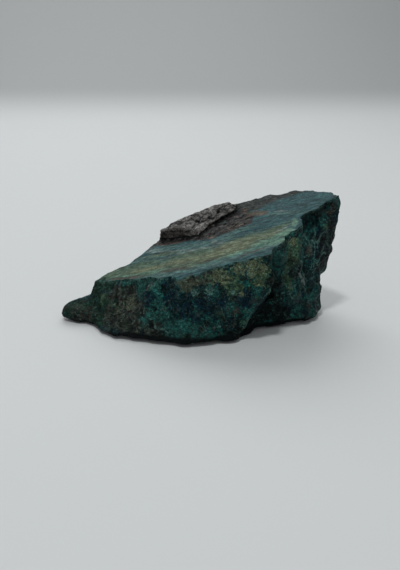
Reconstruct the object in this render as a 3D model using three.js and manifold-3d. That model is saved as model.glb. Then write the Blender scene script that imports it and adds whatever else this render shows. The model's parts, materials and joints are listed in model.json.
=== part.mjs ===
// A hand-sized lump of rough turquoise: broken lumps grown together, one sawn face across the top,
// and a ledge of host rock left standing behind the saw cut.
// Millimetres, +Z up, +X along the long axis towards the tall end, the broken front face towards -Y.
import * as THREE from "three";
import { ConvexHull } from "three/addons/math/ConvexHull.js";
import { mergeVertices } from "three/addons/utils/BufferGeometryUtils.js";
import Module from "manifold-3d";

const wasm = await Module();
wasm.setup();

// The sawn face: its height over the middle of the stone, and its rise per millimetre along X and Y.
const SAWN_HEIGHT = 26.2;
const SAWN_RISE_X = 0.339;
const SAWN_RISE_Y = 0.12;

const RIM_STOCK = 3; // how far each lump runs on above the saw cut, before it is cut
const LUMP_BLEND = 1.1; // radius of the hollows where two lumps meet
const SCAR_BLEND = 0.5; // softness of the edge round a flake scar
const BODY_CELL = 1.9; // spacing of the body's faces
const LEDGE_CELL = 1.3; // spacing of the ledge's faces

// The low and high corners of the space that the body and the ledge are meshed in.
const BODY_SPACE = [new THREE.Vector3(-57, -31, -7), new THREE.Vector3(56, 37, 54)];
const LEDGE_SPACE = [new THREE.Vector3(-21, 9, 12), new THREE.Vector3(20, 34, 42)];

const sawnAt = (x, y) => SAWN_HEIGHT + SAWN_RISE_X * x + SAWN_RISE_Y * y;

// Each lump is the convex hull of its posts and knobs. A post is [foot x, y, z, rim x, y]: a broken
// edge that climbs from the foot to the rim of the sawn face. A knob is a point [x, y, z] that the
// lump bulges to.
const LUMPS = {
  front: {
    posts: [
      [-30, 2, 0, -31, 0],
      [-34.2, -14.6, 0.7, -27.8, -6.2],
      [-17, -20.8, 0.8, -12.4, -13.4],
      [-4, -22.8, 0.9, -1, -19.4],
      [12.4, -19, 0.9, 20.6, -21],
      [14, 6, 0, 23, 4],
      [5, 18, 0, 8, 24],
      [-22, 9, 0, -23.5, 9],
    ],
    knobs: [
      [-26, -10, 0],
      [9, -14, 0],
      [22.8, -20.3, 18],
      [21, -19.6, 14],
      [17.2, -19, 10.4],
      [2, -23, 8],
      [-26, -18.2, 0.8],
      [2, -22.2, 0.9],
    ],
  },
  middle: {
    posts: [
      [22, -9, 0, 22.1, -17],
      [28, -8, 0, 26.9, -16.1],
      [30, 0, 0, 28, -10],
      [16, 0, 0, 12, -6],
    ],
    knobs: [
      [24.2, -14.6, 19],
      [27.4, -13.6, 17],
    ],
  },
  corner: {
    posts: [
      [32, -8, 0, 27.4, -12.2],
      [36, -7, 1, 31.8, -10.3],
      [36, 0, 0, 34.4, -2.6],
      [20, 4, 0, 20, 4],
      [18, -4, 0, 18, -6],
    ],
    knobs: [
      [29, -12, 15],
      [34.2, -9, 15],
    ],
  },
  tall: {
    posts: [
      [39, -5, 1, 35.2, -2.4],
      [41.8, 0, 1, 47.6, 6],
      [41, 6, 0.6, 47.6, 8.4],
      [38, 15, 0.6, 43.5, 15.8],
      [33, 20, 0, 36.4, 21.2],
      [20, 23, 0, 22, 27.2],
      [2, 18, 0, 6, 24],
      [16, 0, 0, 12, -4],
    ],
    knobs: [
      [49, 6, 40],
      [48.6, 6, 37.6],
      [47.4, 5.6, 32],
      [46.8, 5.4, 23],
      [43.8, 3.6, 15.5],
      [46, 12, 22],
      [24, 27.5, 18],
    ],
  },
  toe: {
    posts: [],
    knobs: [
      [14.4, -15.6, 0.7],
      [15.2, -15.4, 6],
      [19.4, -15, 11],
      [20.7, -11.8, 0.6],
      [30.7, -10, 0.6],
      [36.2, -8.4, 0.7],
      [40.6, -5, 0.8],
      [42, -1, 0.8],
      [41.8, 6, 0.6],
      [12, 6, 0],
      [12, -12, 0],
      [36, -4, 0],
      [29, -12.6, 13],
      [24.6, -13.8, 12.6],
      [37.4, -8.8, 7],
      [42.9, 0.4, 6.5],
      [43.4, 2.4, 11],
      [38, 0, 16],
      [24, 0, 16],
    ],
  },
  shoulder: {
    posts: [
      [-40.6, 0, 9.4, -36.6, 2],
      [-31, -10.2, 8.3, -28, -6.6],
      [-34, 7, 1, -28.6, 4.4],
      [-24, 0, 0, -24, 0],
    ],
    knobs: [
      [-41.4, 0, 7.2],
      [-38.6, 1, 12],
      [-34.8, -14.6, 0.7],
      [-40, -8, 1],
      [-41, 5, 1.5],
      [-37, 6, 9],
      [-34, 2, 0],
      [-30, -6, 0],
    ],
  },
  nose: {
    posts: [],
    knobs: [
      [-50.6, -1.6, 2.4],
      [-50.2, -1.2, 3.8],
      [-48.8, -0.8, 5],
      [-45.6, -0.2, 5.8],
      [-42, 0, 6.6],
      [-49.2, -4.8, 1.2],
      [-48.8, -4.2, 3.4],
      [-44.4, -6.9, 1],
      [-44.4, -6.4, 3.8],
      [-38.6, -9.4, 0.9],
      [-38, -9.2, 4.8],
      [-48.2, 3.2, 2],
      [-45, 5, 1.2],
      [-44.5, 4, 4.8],
      [-30, 7, 0],
      [-30, -4, 0],
      [-34, 2, 8.4],
    ],
  },
  back: {
    posts: [
      [-22, 8, 0, -23.8, 8.2],
      [-20, 13, 0.8, -17.2, 16.4],
      [-10, 20, 0.8, -10, 23],
      [4, 24, 0.6, 3, 28],
      [16, 25, 0.6, 13, 28.8],
      [24, 22, 0, 22, 27.2],
      [20, 5, 0, 20, 5],
      [-10, 0, 0, -10, 0],
    ],
    knobs: [
      [-17, 19, 9],
      [-4, 27.6, 12],
      [14, 29.4, 15],
    ],
  },
};

// Flake scars: hollows left by chips that broke away, each an ellipsoid [centre], [radii].
const SCARS = [
  { at: [39, -3.4, 35.4], radii: [5, 3.6, 3.6] }, // under the rim at the tall end
  { at: [30.2, -15.2, 25], radii: [3.6, 4.6, 15] }, // a channel down the tall lump
  { at: [-38.6, -7.4, 15.4], radii: [7, 5, 5] }, // above the nose
  { at: [49.2, 1, 12.6], radii: [6.5, 7, 4] }, // low on the right-hand flank
  { at: [-29, 16, 8], radii: [8, 7, 9] }, // behind the left end of the sawn face
  { at: [-10, 32, 6], radii: [13, 9.5, 9] }, // low on the back
  { at: [25, 33.5, 10], radii: [9, 7.5, 13] }, // on the back, towards the tall end
  { at: [41, 27, 24], radii: [9, 9, 12] }, // on the back, at the tall end
  { at: [50, 14, 8], radii: [8, 6, 7] }, // low at the tall end
];

// Slabs of host rock that stand on the sawn face, as corners [x, y, height above the sawn face].
const LEDGE_SLABS = [
  [
    [-17.2, 17.6, 3.2],
    [-10.4, 16.2, 3.4],
    [-4.6, 13.2, 2.5],
    [-1.6, 13.4, 1.7],
    [2.6, 18, 1.5],
    [1, 25, 2.2],
    [-7, 23.6, 2.7],
    [-14, 20.6, 2.6],
  ],
  [
    [-4, 16, 2],
    [2.4, 17.9, 1.4],
    [9, 20.8, 1.4],
    [15, 22.8, 0.6],
    [11.4, 28, 1.8],
    [5, 28.4, 2.3],
    [-2, 26.2, 2.4],
    [-8, 23.2, 2.5],
  ],
  [
    [-8, 19.6, 3.5],
    [-1, 18.8, 2.9],
    [4, 21.8, 2.6],
    [9.4, 25.2, 2.7],
    [4, 27, 3],
    [-3, 24.6, 3.3],
  ],
];
const LEDGE_ROOT = 5; // how deep the slabs reach into the stone

// The same number from 0 to 1 every time for a cell of a grid.
function cellNumber(i, j, k, channel) {
  let h = Math.imul(i, 374761393) ^ Math.imul(j, 668265263) ^ Math.imul(k, 1440662683);
  h = Math.imul(h ^ Math.imul(channel, 1274126177) ^ (h >>> 13), 1103515245);
  h = Math.imul(h ^ (h >>> 15), 2246822519);
  return ((h ^ (h >>> 13)) >>> 0) / 4294967296;
}

// Broken relief: space is parted into cells, and each is a small fracture face with its own height
// and tilt.
function brokenRelief(p, { size, height, tilt, sharpness, seed }) {
  const [ci, cj, ck] = [p.x, p.y, p.z].map((v) => Math.floor(v / size));
  let sum = 0;
  let weights = 0;
  for (let i = ci - 1; i <= ci + 1; i++)
    for (let j = cj - 1; j <= cj + 1; j++)
      for (let k = ck - 1; k <= ck + 1; k++) {
        const number = (channel) => cellNumber(i, j, k, seed + channel);
        const dx = p.x - (i + number(0)) * size;
        const dy = p.y - (j + number(1)) * size;
        const dz = p.z - (k + number(2)) * size;
        const weight = Math.exp((-sharpness * (dx * dx + dy * dy + dz * dz)) / (size * size));
        const lean = (number(3) - 0.5) * dx + (number(4) - 0.5) * dy + (number(5) - 0.5) * dz;
        sum += weight * ((number(6) - 0.5) * 2 * height + 2 * tilt * lean);
        weights += weight;
      }
  return sum / weights;
}

const BODY_RELIEF = [
  { size: 11, height: 0.45, tilt: 0.05, sharpness: 12, seed: 11 },
  { size: 5.4, height: 0.28, tilt: 0.1, sharpness: 14, seed: 37 },
];
const BACK_ROUGHNESS = 1.9; // how much stronger the relief is at the weathered back than at the front
const LEDGE_RELIEF = [
  { size: 5, height: 0.2, tilt: 0.09, sharpness: 16, seed: 71 },
  { size: 2.8, height: 0.08, tilt: 0.06, sharpness: 16, seed: 90 },
];

const smoothMin = (a, b, k) => {
  const h = Math.max(k - Math.abs(a - b), 0) / k;
  return Math.min(a, b) - (h * h * k) / 4;
};
const smoothMax = (a, b, k) => -smoothMin(-a, -b, k);

// A convex hull as a field: negative inside, and the distance to the nearest face's plane outside.
function hullField(corners) {
  const hull = new ConvexHull().setFromPoints(corners);
  const faces = hull.faces.map((face) => ({ normal: face.normal.clone(), constant: face.constant }));
  return (p) => {
    let most = -Infinity;
    for (const face of faces) most = Math.max(most, face.normal.dot(p) - face.constant);
    return most;
  };
}

function lumpField({ posts, knobs }) {
  const corners = knobs.map((k) => new THREE.Vector3(...k));
  for (const [fx, fy, fz, rx, ry] of posts) {
    const foot = new THREE.Vector3(fx, fy, fz);
    const rim = new THREE.Vector3(rx, ry, sawnAt(rx, ry));
    const beyond = 1 + RIM_STOCK / (rim.z - foot.z);
    corners.push(foot, foot.clone().lerp(rim, beyond));
  }
  // The foot runs on below the ground, where the stone is cut off flat.
  for (const c of corners.filter((corner) => corner.z < 0.5)) c.z = -2;
  return hullField(corners);
}

function scarField({ at, radii }) {
  const centre = new THREE.Vector3(...at);
  const least = Math.min(...radii);
  const q = new THREE.Vector3();
  return (p) => {
    q.subVectors(p, centre);
    return (Math.hypot(q.x / radii[0], q.y / radii[1], q.z / radii[2]) - 1) * least;
  };
}

function bodyField() {
  const lumps = Object.values(LUMPS).map(lumpField);
  const scars = SCARS.map(scarField);
  return (p) => {
    let f = Infinity;
    for (const lump of lumps) f = f === Infinity ? lump(p) : smoothMin(f, lump(p), LUMP_BLEND);
    for (const scar of scars) f = smoothMax(f, -scar(p), SCAR_BLEND);
    const towardsBack = THREE.MathUtils.smoothstep(p.y, 2, 16);
    const strength = THREE.MathUtils.lerp(1, BACK_ROUGHNESS, towardsBack);
    for (const relief of BODY_RELIEF) f += strength * brokenRelief(p, relief);
    return f;
  };
}

function ledgeField() {
  const slabs = LEDGE_SLABS.map((corners) =>
    hullField(
      corners.flatMap(([x, y, height]) => [
        new THREE.Vector3(x, y, sawnAt(x, y) + height),
        new THREE.Vector3(x, y, sawnAt(x, y) - LEDGE_ROOT),
      ]),
    ),
  );
  return (p) => {
    let f = Math.min(...slabs.map((slab) => slab(p)));
    for (const relief of LEDGE_RELIEF) f += brokenRelief(p, relief);
    return f;
  };
}

// Cell corners, edges and faces of the mesher. A corner's number holds its place along X, Y and Z
// as bits.
const CORNERS = [0, 1, 2, 3, 4, 5, 6, 7].map((c) => [c & 1, (c >> 1) & 1, (c >> 2) & 1]);
const EDGES = [1, 2, 4].flatMap((bit) => CORNERS.flatMap((_, c) => (c & bit ? [] : [[c, c | bit]])));
const cornersOnSide = (bit, side) => CORNERS.flatMap((_, c) => ((c & bit) === side ? [c] : []));
const FACES = [1, 2, 4].flatMap((bit) => [cornersOnSide(bit, 0), cornersOnSide(bit, bit)]);

// The crossed edges of one cell, in groups that belong to the same stretch of surface. On each face
// of the cell, the edges that meet at a corner inside the solid go together, or all the crossed ones
// if there are just two.
function crossedGroups(values) {
  const group = EDGES.map(([a, b], e) => (values[a] < 0 === values[b] < 0 ? -1 : e));
  const join = (e, f) => {
    const [keep, drop] = [group[e], group[f]];
    group.forEach((g, i) => {
      if (g === drop) group[i] = keep;
    });
  };
  for (const face of FACES) {
    const liesOn = ([a, b]) => face.includes(a) && face.includes(b);
    const crossed = EDGES.flatMap((edge, e) => (group[e] >= 0 && liesOn(edge) ? [e] : []));
    if (crossed.length === 2) join(crossed[0], crossed[1]);
    if (crossed.length < 4) continue;
    for (const corner of face.filter((c) => values[c] < 0)) {
      const [e, f] = crossed.filter((edge) => EDGES[edge].includes(corner));
      join(e, f);
    }
  }
  return group;
}

// Meshes a field with one vertex for each stretch of its surface in each cell. The vertex goes where the
// surface's tangent planes meet, so broken edges stay sharp.
function meshField(field, low, high, cell) {
  const n = ["x", "y", "z"].map((axis) => Math.ceil((high[axis] - low[axis]) / cell) + 1);
  const at = (i, j, k) => i + n[0] * (j + n[1] * k);
  const place = (i, j, k) => new THREE.Vector3(low.x + i * cell, low.y + j * cell, low.z + k * cell);
  const value = new Float64Array(n[0] * n[1] * n[2]);
  for (let k = 0; k < n[2]; k++)
    for (let j = 0; j < n[1]; j++)
      for (let i = 0; i < n[0]; i++) {
        value[at(i, j, k)] = field(place(i, j, k));
      }

  const vertices = [];
  const vertexOf = new Map(); // the vertex for each crossed edge of each cell
  for (let k = 0; k < n[2] - 1; k++)
    for (let j = 0; j < n[1] - 1; j++)
      for (let i = 0; i < n[0] - 1; i++) {
        const values = CORNERS.map(([x, y, z]) => value[at(i + x, j + y, k + z)]);
        if (values.every((v) => v < 0) || values.every((v) => v >= 0)) continue;
        const groups = crossedGroups(values);
        for (const group of new Set(groups.filter((g) => g >= 0))) {
          const edges = EDGES.filter((_, e) => groups[e] === group);
          groups.forEach((g, e) => {
            if (g === group) vertexOf.set(at(i, j, k) * 12 + e, vertices.length);
          });
          vertices.push(cellVertex(field, place(i, j, k), cell, values, edges));
        }
      }

  // Each crossed grid edge is ringed by four cells, whose vertices make two triangles.
  const triangles = [];
  const ring = [[1, 1], [0, 1], [0, 0], [1, 0]]; // how far back each cell lies
  for (let k = 1; k < n[2] - 1; k++)
    for (let j = 1; j < n[1] - 1; j++)
      for (let i = 1; i < n[0] - 1; i++)
        for (const axis of [0, 1, 2]) {
          const step = [0, 1, 2].map((x) => (x === axis ? 1 : 0));
          const inside = value[at(i, j, k)] < 0;
          if (inside === value[at(i + step[0], j + step[1], k + step[2])] < 0) continue;
          const corners = ring.map(([first, second]) => {
            const back = [0, 0, 0];
            back[(axis + 1) % 3] = first;
            back[(axis + 2) % 3] = second;
            const from = back[0] + 2 * back[1] + 4 * back[2];
            const edge = EDGES.findIndex(([a, b]) => a === from && b === (from | (1 << axis)));
            return vertexOf.get(at(i - back[0], j - back[1], k - back[2]) * 12 + edge);
          });
          if (!inside) corners.reverse();
          const [a, b, c, d] = corners;
          const across = vertices[a].distanceTo(vertices[c]) < vertices[b].distanceTo(vertices[d]);
          triangles.push(...(across ? [a, b, c, a, c, d] : [a, b, d, b, c, d]));
        }
  return new wasm.Manifold(
    new wasm.Mesh({
      numProp: 3,
      vertProperties: new Float32Array(vertices.flatMap((v) => [v.x, v.y, v.z])),
      triVerts: new Uint32Array(triangles),
    }),
  );
}

function slopeOf(field, p) {
  const step = 0.05;
  const along = (axis) => {
    const ahead = p.clone();
    const behind = p.clone();
    ahead[axis] += step;
    behind[axis] -= step;
    return field(ahead) - field(behind);
  };
  return new THREE.Vector3(along("x"), along("y"), along("z")).normalize();
}

// One vertex of a cell: the least-squares meeting point of the tangent planes where these edges are
// crossed, held near the middle of the crossings and inside the cell.
function cellVertex(field, origin, cell, values, edges) {
  const pull = 0.12;
  const crossings = [];
  for (const [from, to] of edges) {
    const a = new THREE.Vector3(...CORNERS[from]).multiplyScalar(cell).add(origin);
    const b = new THREE.Vector3(...CORNERS[to]).multiplyScalar(cell).add(origin);
    let [lowShare, highShare] = [0, 1];
    for (let step = 0; step < 6; step++) {
      const half = (lowShare + highShare) / 2;
      if (field(a.clone().lerp(b, half)) < 0 === values[from] < 0) lowShare = half;
      else highShare = half;
    }
    const point = a.lerp(b, (lowShare + highShare) / 2);
    crossings.push({ point, normal: slopeOf(field, point) });
  }
  const middle = new THREE.Vector3();
  for (const { point } of crossings) middle.addScaledVector(point, 1 / crossings.length);
  const m = [pull, 0, 0, pull, 0, pull]; // xx, xy, xz, yy, yz, zz
  const target = new THREE.Vector3();
  for (const { point, normal } of crossings) {
    m[0] += normal.x * normal.x;
    m[1] += normal.x * normal.y;
    m[2] += normal.x * normal.z;
    m[3] += normal.y * normal.y;
    m[4] += normal.y * normal.z;
    m[5] += normal.z * normal.z;
    target.addScaledVector(normal, normal.dot(point.clone().sub(middle)));
  }
  const matrix = new THREE.Matrix3().set(m[0], m[1], m[2], m[1], m[3], m[4], m[2], m[4], m[5]);
  const vertex = target.applyMatrix3(matrix.invert()).add(middle);
  const far = origin.clone().addScalar(cell);
  return vertex.clamp(origin, far);
}

// A three.js geometry as a manifold-3d solid.
function solidOf(geometry) {
  geometry.deleteAttribute("normal");
  geometry.deleteAttribute("uv");
  const merged = mergeVertices(geometry, 1e-4);
  return new wasm.Manifold(
    new wasm.Mesh({
      numProp: 3,
      vertProperties: merged.attributes.position.array,
      triVerts: new Uint32Array(merged.index.array),
    }),
  );
}

// Everything below the sawn face, as a block that is larger than the stone.
function belowSawnFace() {
  const normal = new THREE.Vector3(-SAWN_RISE_X, -SAWN_RISE_Y, 1).normalize();
  const turn = new THREE.Quaternion().setFromUnitVectors(new THREE.Vector3(0, 0, 1), normal);
  const block = new THREE.BoxGeometry(300, 300, 150).translate(0, 0, -75).applyQuaternion(turn);
  return solidOf(block.translate(0, 0, SAWN_HEIGHT));
}

const aboveGround = () => solidOf(new THREE.BoxGeometry(300, 300, 150).translate(0, 0, 75));

function stoneSolid() {
  const rough = meshField(bodyField(), ...BODY_SPACE, BODY_CELL);
  const body = rough.intersect(belowSawnFace()).intersect(aboveGround());
  const ledge = meshField(ledgeField(), ...LEDGE_SPACE, LEDGE_CELL);
  const pieces = body.add(ledge).decompose();
  return pieces.sort((a, b) => b.volume() - a.volume())[0];
}

// The solid as a three.js geometry, moved so that the origin is at the middle of the box's underside.
function stoneGeometry() {
  const mesh = stoneSolid().getMesh();
  const geometry = new THREE.BufferGeometry();
  geometry.setAttribute("position", new THREE.BufferAttribute(new Float32Array(mesh.vertProperties), 3));
  geometry.setIndex(new THREE.BufferAttribute(new Uint32Array(mesh.triVerts), 1));
  geometry.computeBoundingBox();
  const { min, max } = geometry.boundingBox;
  geometry.translate(-(min.x + max.x) / 2, -(min.y + max.y) / 2, -min.z);
  geometry.computeVertexNormals();
  return geometry;
}

const turquoise = new THREE.MeshStandardMaterial({ color: 0x2c5f5c, roughness: 0.75, metalness: 0 });
const stone = new THREE.Mesh(stoneGeometry(), turquoise);
stone.name = "stone";

const roughTurquoise = new THREE.Group();
roughTurquoise.add(stone);
export default roughTurquoise;
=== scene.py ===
import json
import math

import bmesh
import bpy
import numpy as np
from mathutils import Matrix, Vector

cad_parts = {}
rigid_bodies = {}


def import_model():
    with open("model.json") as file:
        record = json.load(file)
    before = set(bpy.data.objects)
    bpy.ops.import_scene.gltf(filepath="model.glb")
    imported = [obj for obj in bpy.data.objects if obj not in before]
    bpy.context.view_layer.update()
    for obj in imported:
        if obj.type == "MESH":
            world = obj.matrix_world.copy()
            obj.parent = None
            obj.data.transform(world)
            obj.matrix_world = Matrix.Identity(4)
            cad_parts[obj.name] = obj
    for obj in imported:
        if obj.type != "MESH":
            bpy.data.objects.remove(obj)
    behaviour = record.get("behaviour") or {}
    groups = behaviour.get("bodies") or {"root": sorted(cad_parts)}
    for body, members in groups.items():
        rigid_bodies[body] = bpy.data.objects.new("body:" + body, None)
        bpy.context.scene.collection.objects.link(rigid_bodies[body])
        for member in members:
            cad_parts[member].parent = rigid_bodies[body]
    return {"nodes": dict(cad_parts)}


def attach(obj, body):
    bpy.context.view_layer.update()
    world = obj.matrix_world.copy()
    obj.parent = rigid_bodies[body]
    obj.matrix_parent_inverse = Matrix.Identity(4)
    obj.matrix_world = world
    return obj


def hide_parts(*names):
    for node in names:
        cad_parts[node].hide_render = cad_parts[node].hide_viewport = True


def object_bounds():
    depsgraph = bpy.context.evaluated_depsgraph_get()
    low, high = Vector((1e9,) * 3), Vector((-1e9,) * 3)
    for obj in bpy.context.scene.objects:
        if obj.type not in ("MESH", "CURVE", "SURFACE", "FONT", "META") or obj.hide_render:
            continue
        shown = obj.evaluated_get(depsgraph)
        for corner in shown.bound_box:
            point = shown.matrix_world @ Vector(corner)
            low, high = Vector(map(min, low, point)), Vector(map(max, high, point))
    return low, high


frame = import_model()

for leftover in [o for o in bpy.data.objects if o.name in ("Cube", "Light", "Camera")]:
    bpy.data.objects.remove(leftover)
cadLow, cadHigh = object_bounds()

# Rough turquoise: one natural stone with a sawn top and a ledge of host rock on it.
# Lengths in the dictionaries are millimetres; the meshes are in metres.
mm = 0.001


def openInput(node, name):
    return next(s for s in node.inputs if s.name == name and s.enabled)


def feed(tree, socket, value):
    # a value is a plain number or colour, or the output of another node
    if isinstance(value, bpy.types.NodeSocket):
        tree.links.new(value, socket)
    else:
        socket.default_value = value


def put(tree, kind, values=(), **settings):
    node = tree.nodes.new(kind)
    for name, value in settings.items():
        setattr(node, name, value)
    for key, value in dict(values).items():
        feed(tree, node.inputs[key] if isinstance(key, int) else openInput(node, key), value)
    return node


def math2(tree, operation, a, b=0.0, clamp=False):
    return put(tree, "ShaderNodeMath", {0: a, 1: b}, operation=operation, use_clamp=clamp).outputs[0]


def vector2(tree, operation, a, b=(0, 0, 0)):
    return put(tree, "ShaderNodeVectorMath", {0: a, 1: b}, operation=operation).outputs["Vector"]


def scaled(tree, vector, factor):
    return put(tree, "ShaderNodeVectorMath", {0: vector, "Scale": factor},
               operation="SCALE").outputs["Vector"]


def eased(tree, value, low, high, start=0.0, end=1.0):
    return put(tree, "ShaderNodeMapRange", {"Value": value, "From Min": low, "From Max": high,
               "To Min": start, "To Max": end}, interpolation_type="SMOOTHSTEP").outputs["Result"]


def noisy(tree, vector, scale, detail=3.0, roughness=0.55, distortion=0.0, seed=0.0):
    return put(tree, "ShaderNodeTexNoise", {"Vector": vector, "W": seed, "Scale": scale,
               "Detail": detail, "Roughness": roughness, "Distortion": distortion},
               noise_dimensions="4D").outputs


def voronoi(tree, place, scale, seed, feature="F1", distance="EUCLIDEAN"):
    return put(tree, "ShaderNodeTexVoronoi", {"Vector": place, "W": seed, "Scale": scale},
               voronoi_dimensions="4D", feature=feature, distance=distance).outputs


def drifted(tree, place, noise, reach):
    # places pushed about by a noise, up to half the reach each way
    return vector2(tree, "ADD", place, scaled(tree, vector2(tree, "SUBTRACT", noise, (0.5, 0.5, 0.5)), reach))


studio = {
    "lookAt": (0.0, -3.8, 11.7),     # the point in the middle of the view
    "distance": 230.0,
    "downwards": 22.0,               # degrees below level
    "lens": 40.42,
    "sensor": 36.0,
    "floorTone": (0.77, 0.80, 0.805),
    "floorRoughness": 0.75,
    "floorShine": 0.25,
    "floorFront": -1500.0,
    "floorBack": 430.0,              # the floor sweeps up into the backdrop from here
    "sweepRadius": 420.0,
    "sweepSteps": 24,
    "backdropTop": 480.0,
    "floorWidth": 4200.0,
    "floorFade": ((-60.0, 0.955), (450.0, 0.78)),   # painted shade: the floor darkens a little towards the back
    "backdropShade": 0.60,           # how much darker the backdrop is than the floor
    "shadeHeights": (0.0, 31.0),     # it darkens between these heights
    "fill": 0.30,                    # light from all round
    "fillTone": (0.97, 0.99, 1.0),
    "lamps": {
        "topPanel": {"at": (-150.0, -240.0, 1060.0), "size": 120.0, "watts": 3.0},
        "backPanel": {"at": (-100.0, 700.0, 560.0), "size": 800.0, "watts": 5.0},
    },
}


def linked(name, data):
    thing = bpy.data.objects.new(name, data)
    bpy.context.scene.collection.objects.link(thing)
    return thing


def aim(thing, place, target):
    thing.location = place
    thing.rotation_euler = (target - place).to_track_quat("-Z", "Y").to_euler()


def makeCamera():
    target = Vector(studio["lookAt"]) * mm
    tilt = math.radians(studio["downwards"])
    back = Vector((0, -math.cos(tilt), math.sin(tilt))) * studio["distance"] * mm
    data = bpy.data.cameras.new("camera")
    data.lens = studio["lens"]
    data.sensor_width = studio["sensor"]
    data.clip_start = 10 * mm
    camera = linked("camera", data)
    aim(camera, target + back, target)
    bpy.context.scene.camera = camera


def makeLights():
    for name, panel in studio["lamps"].items():
        data = bpy.data.lights.new(name, "AREA")
        data.shape = "SQUARE"
        data.size = panel["size"] * mm
        data.energy = panel["watts"]
        aim(linked(name, data), Vector(panel["at"]) * mm, Vector((0, 0, 0)))
    world = bpy.data.worlds.new("studio")
    world.use_nodes = True
    sky = world.node_tree.nodes["Background"]
    sky.inputs["Color"].default_value = (*studio["fillTone"], 1)
    sky.inputs["Strength"].default_value = studio["fill"]
    bpy.context.scene.world = world
    bpy.context.scene.view_settings.view_transform = "Standard"


def makeFloorMaterial():
    material = bpy.data.materials.new("paleFloor")
    material.use_nodes = True
    tree = material.node_tree
    surface = tree.nodes["Principled BSDF"]
    place = put(tree, "ShaderNodeSeparateXYZ", {0: tree.nodes.new("ShaderNodeTexCoord").outputs["Object"]})
    low, high = studio["shadeHeights"]
    shade = eased(tree, place.outputs["Z"], low * mm, high * mm, 1.0, studio["backdropShade"])
    # painted shade: the backdrop darker higher up, the floor darker towards the back
    (near, nearShade), (far, farShade) = studio["floorFade"]
    fade = put(tree, "ShaderNodeMapRange", {"Value": place.outputs["Y"], "From Min": near * mm,
               "From Max": far * mm, "To Min": nearShade, "To Max": farShade}).outputs["Result"]
    feed(tree, surface.inputs["Base Color"],
         scaled(tree, studio["floorTone"], math2(tree, "MULTIPLY", shade, fade)))
    surface.inputs["Roughness"].default_value = studio["floorRoughness"]
    surface.inputs["Specular IOR Level"].default_value = studio["floorShine"]
    return material


def makeFloor():
    back, radius, top = studio["floorBack"], studio["sweepRadius"], studio["backdropTop"]
    profile = [(studio["floorFront"], 0.0), (back, 0.0)]
    for step in range(1, studio["sweepSteps"] + 1):
        turn = math.radians(90 * step / studio["sweepSteps"])
        profile.append((back + radius * math.sin(turn), radius * (1 - math.cos(turn))))
    profile.append((back + radius, top))
    half = studio["floorWidth"] / 2
    points = [Vector((side, y, z)) * mm for y, z in profile for side in (-half, half)]
    faces = [(2 * i, 2 * i + 1, 2 * i + 3, 2 * i + 2) for i in range(len(profile) - 1)]
    mesh = bpy.data.meshes.new("floor")
    mesh.from_pydata(points, [], faces)
    mesh.shade_smooth()
    mesh.materials.append(makeFloorMaterial())
    linked("floor", mesh)


makeCamera()
makeLights()
makeFloor()
print("studio ready")


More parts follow.
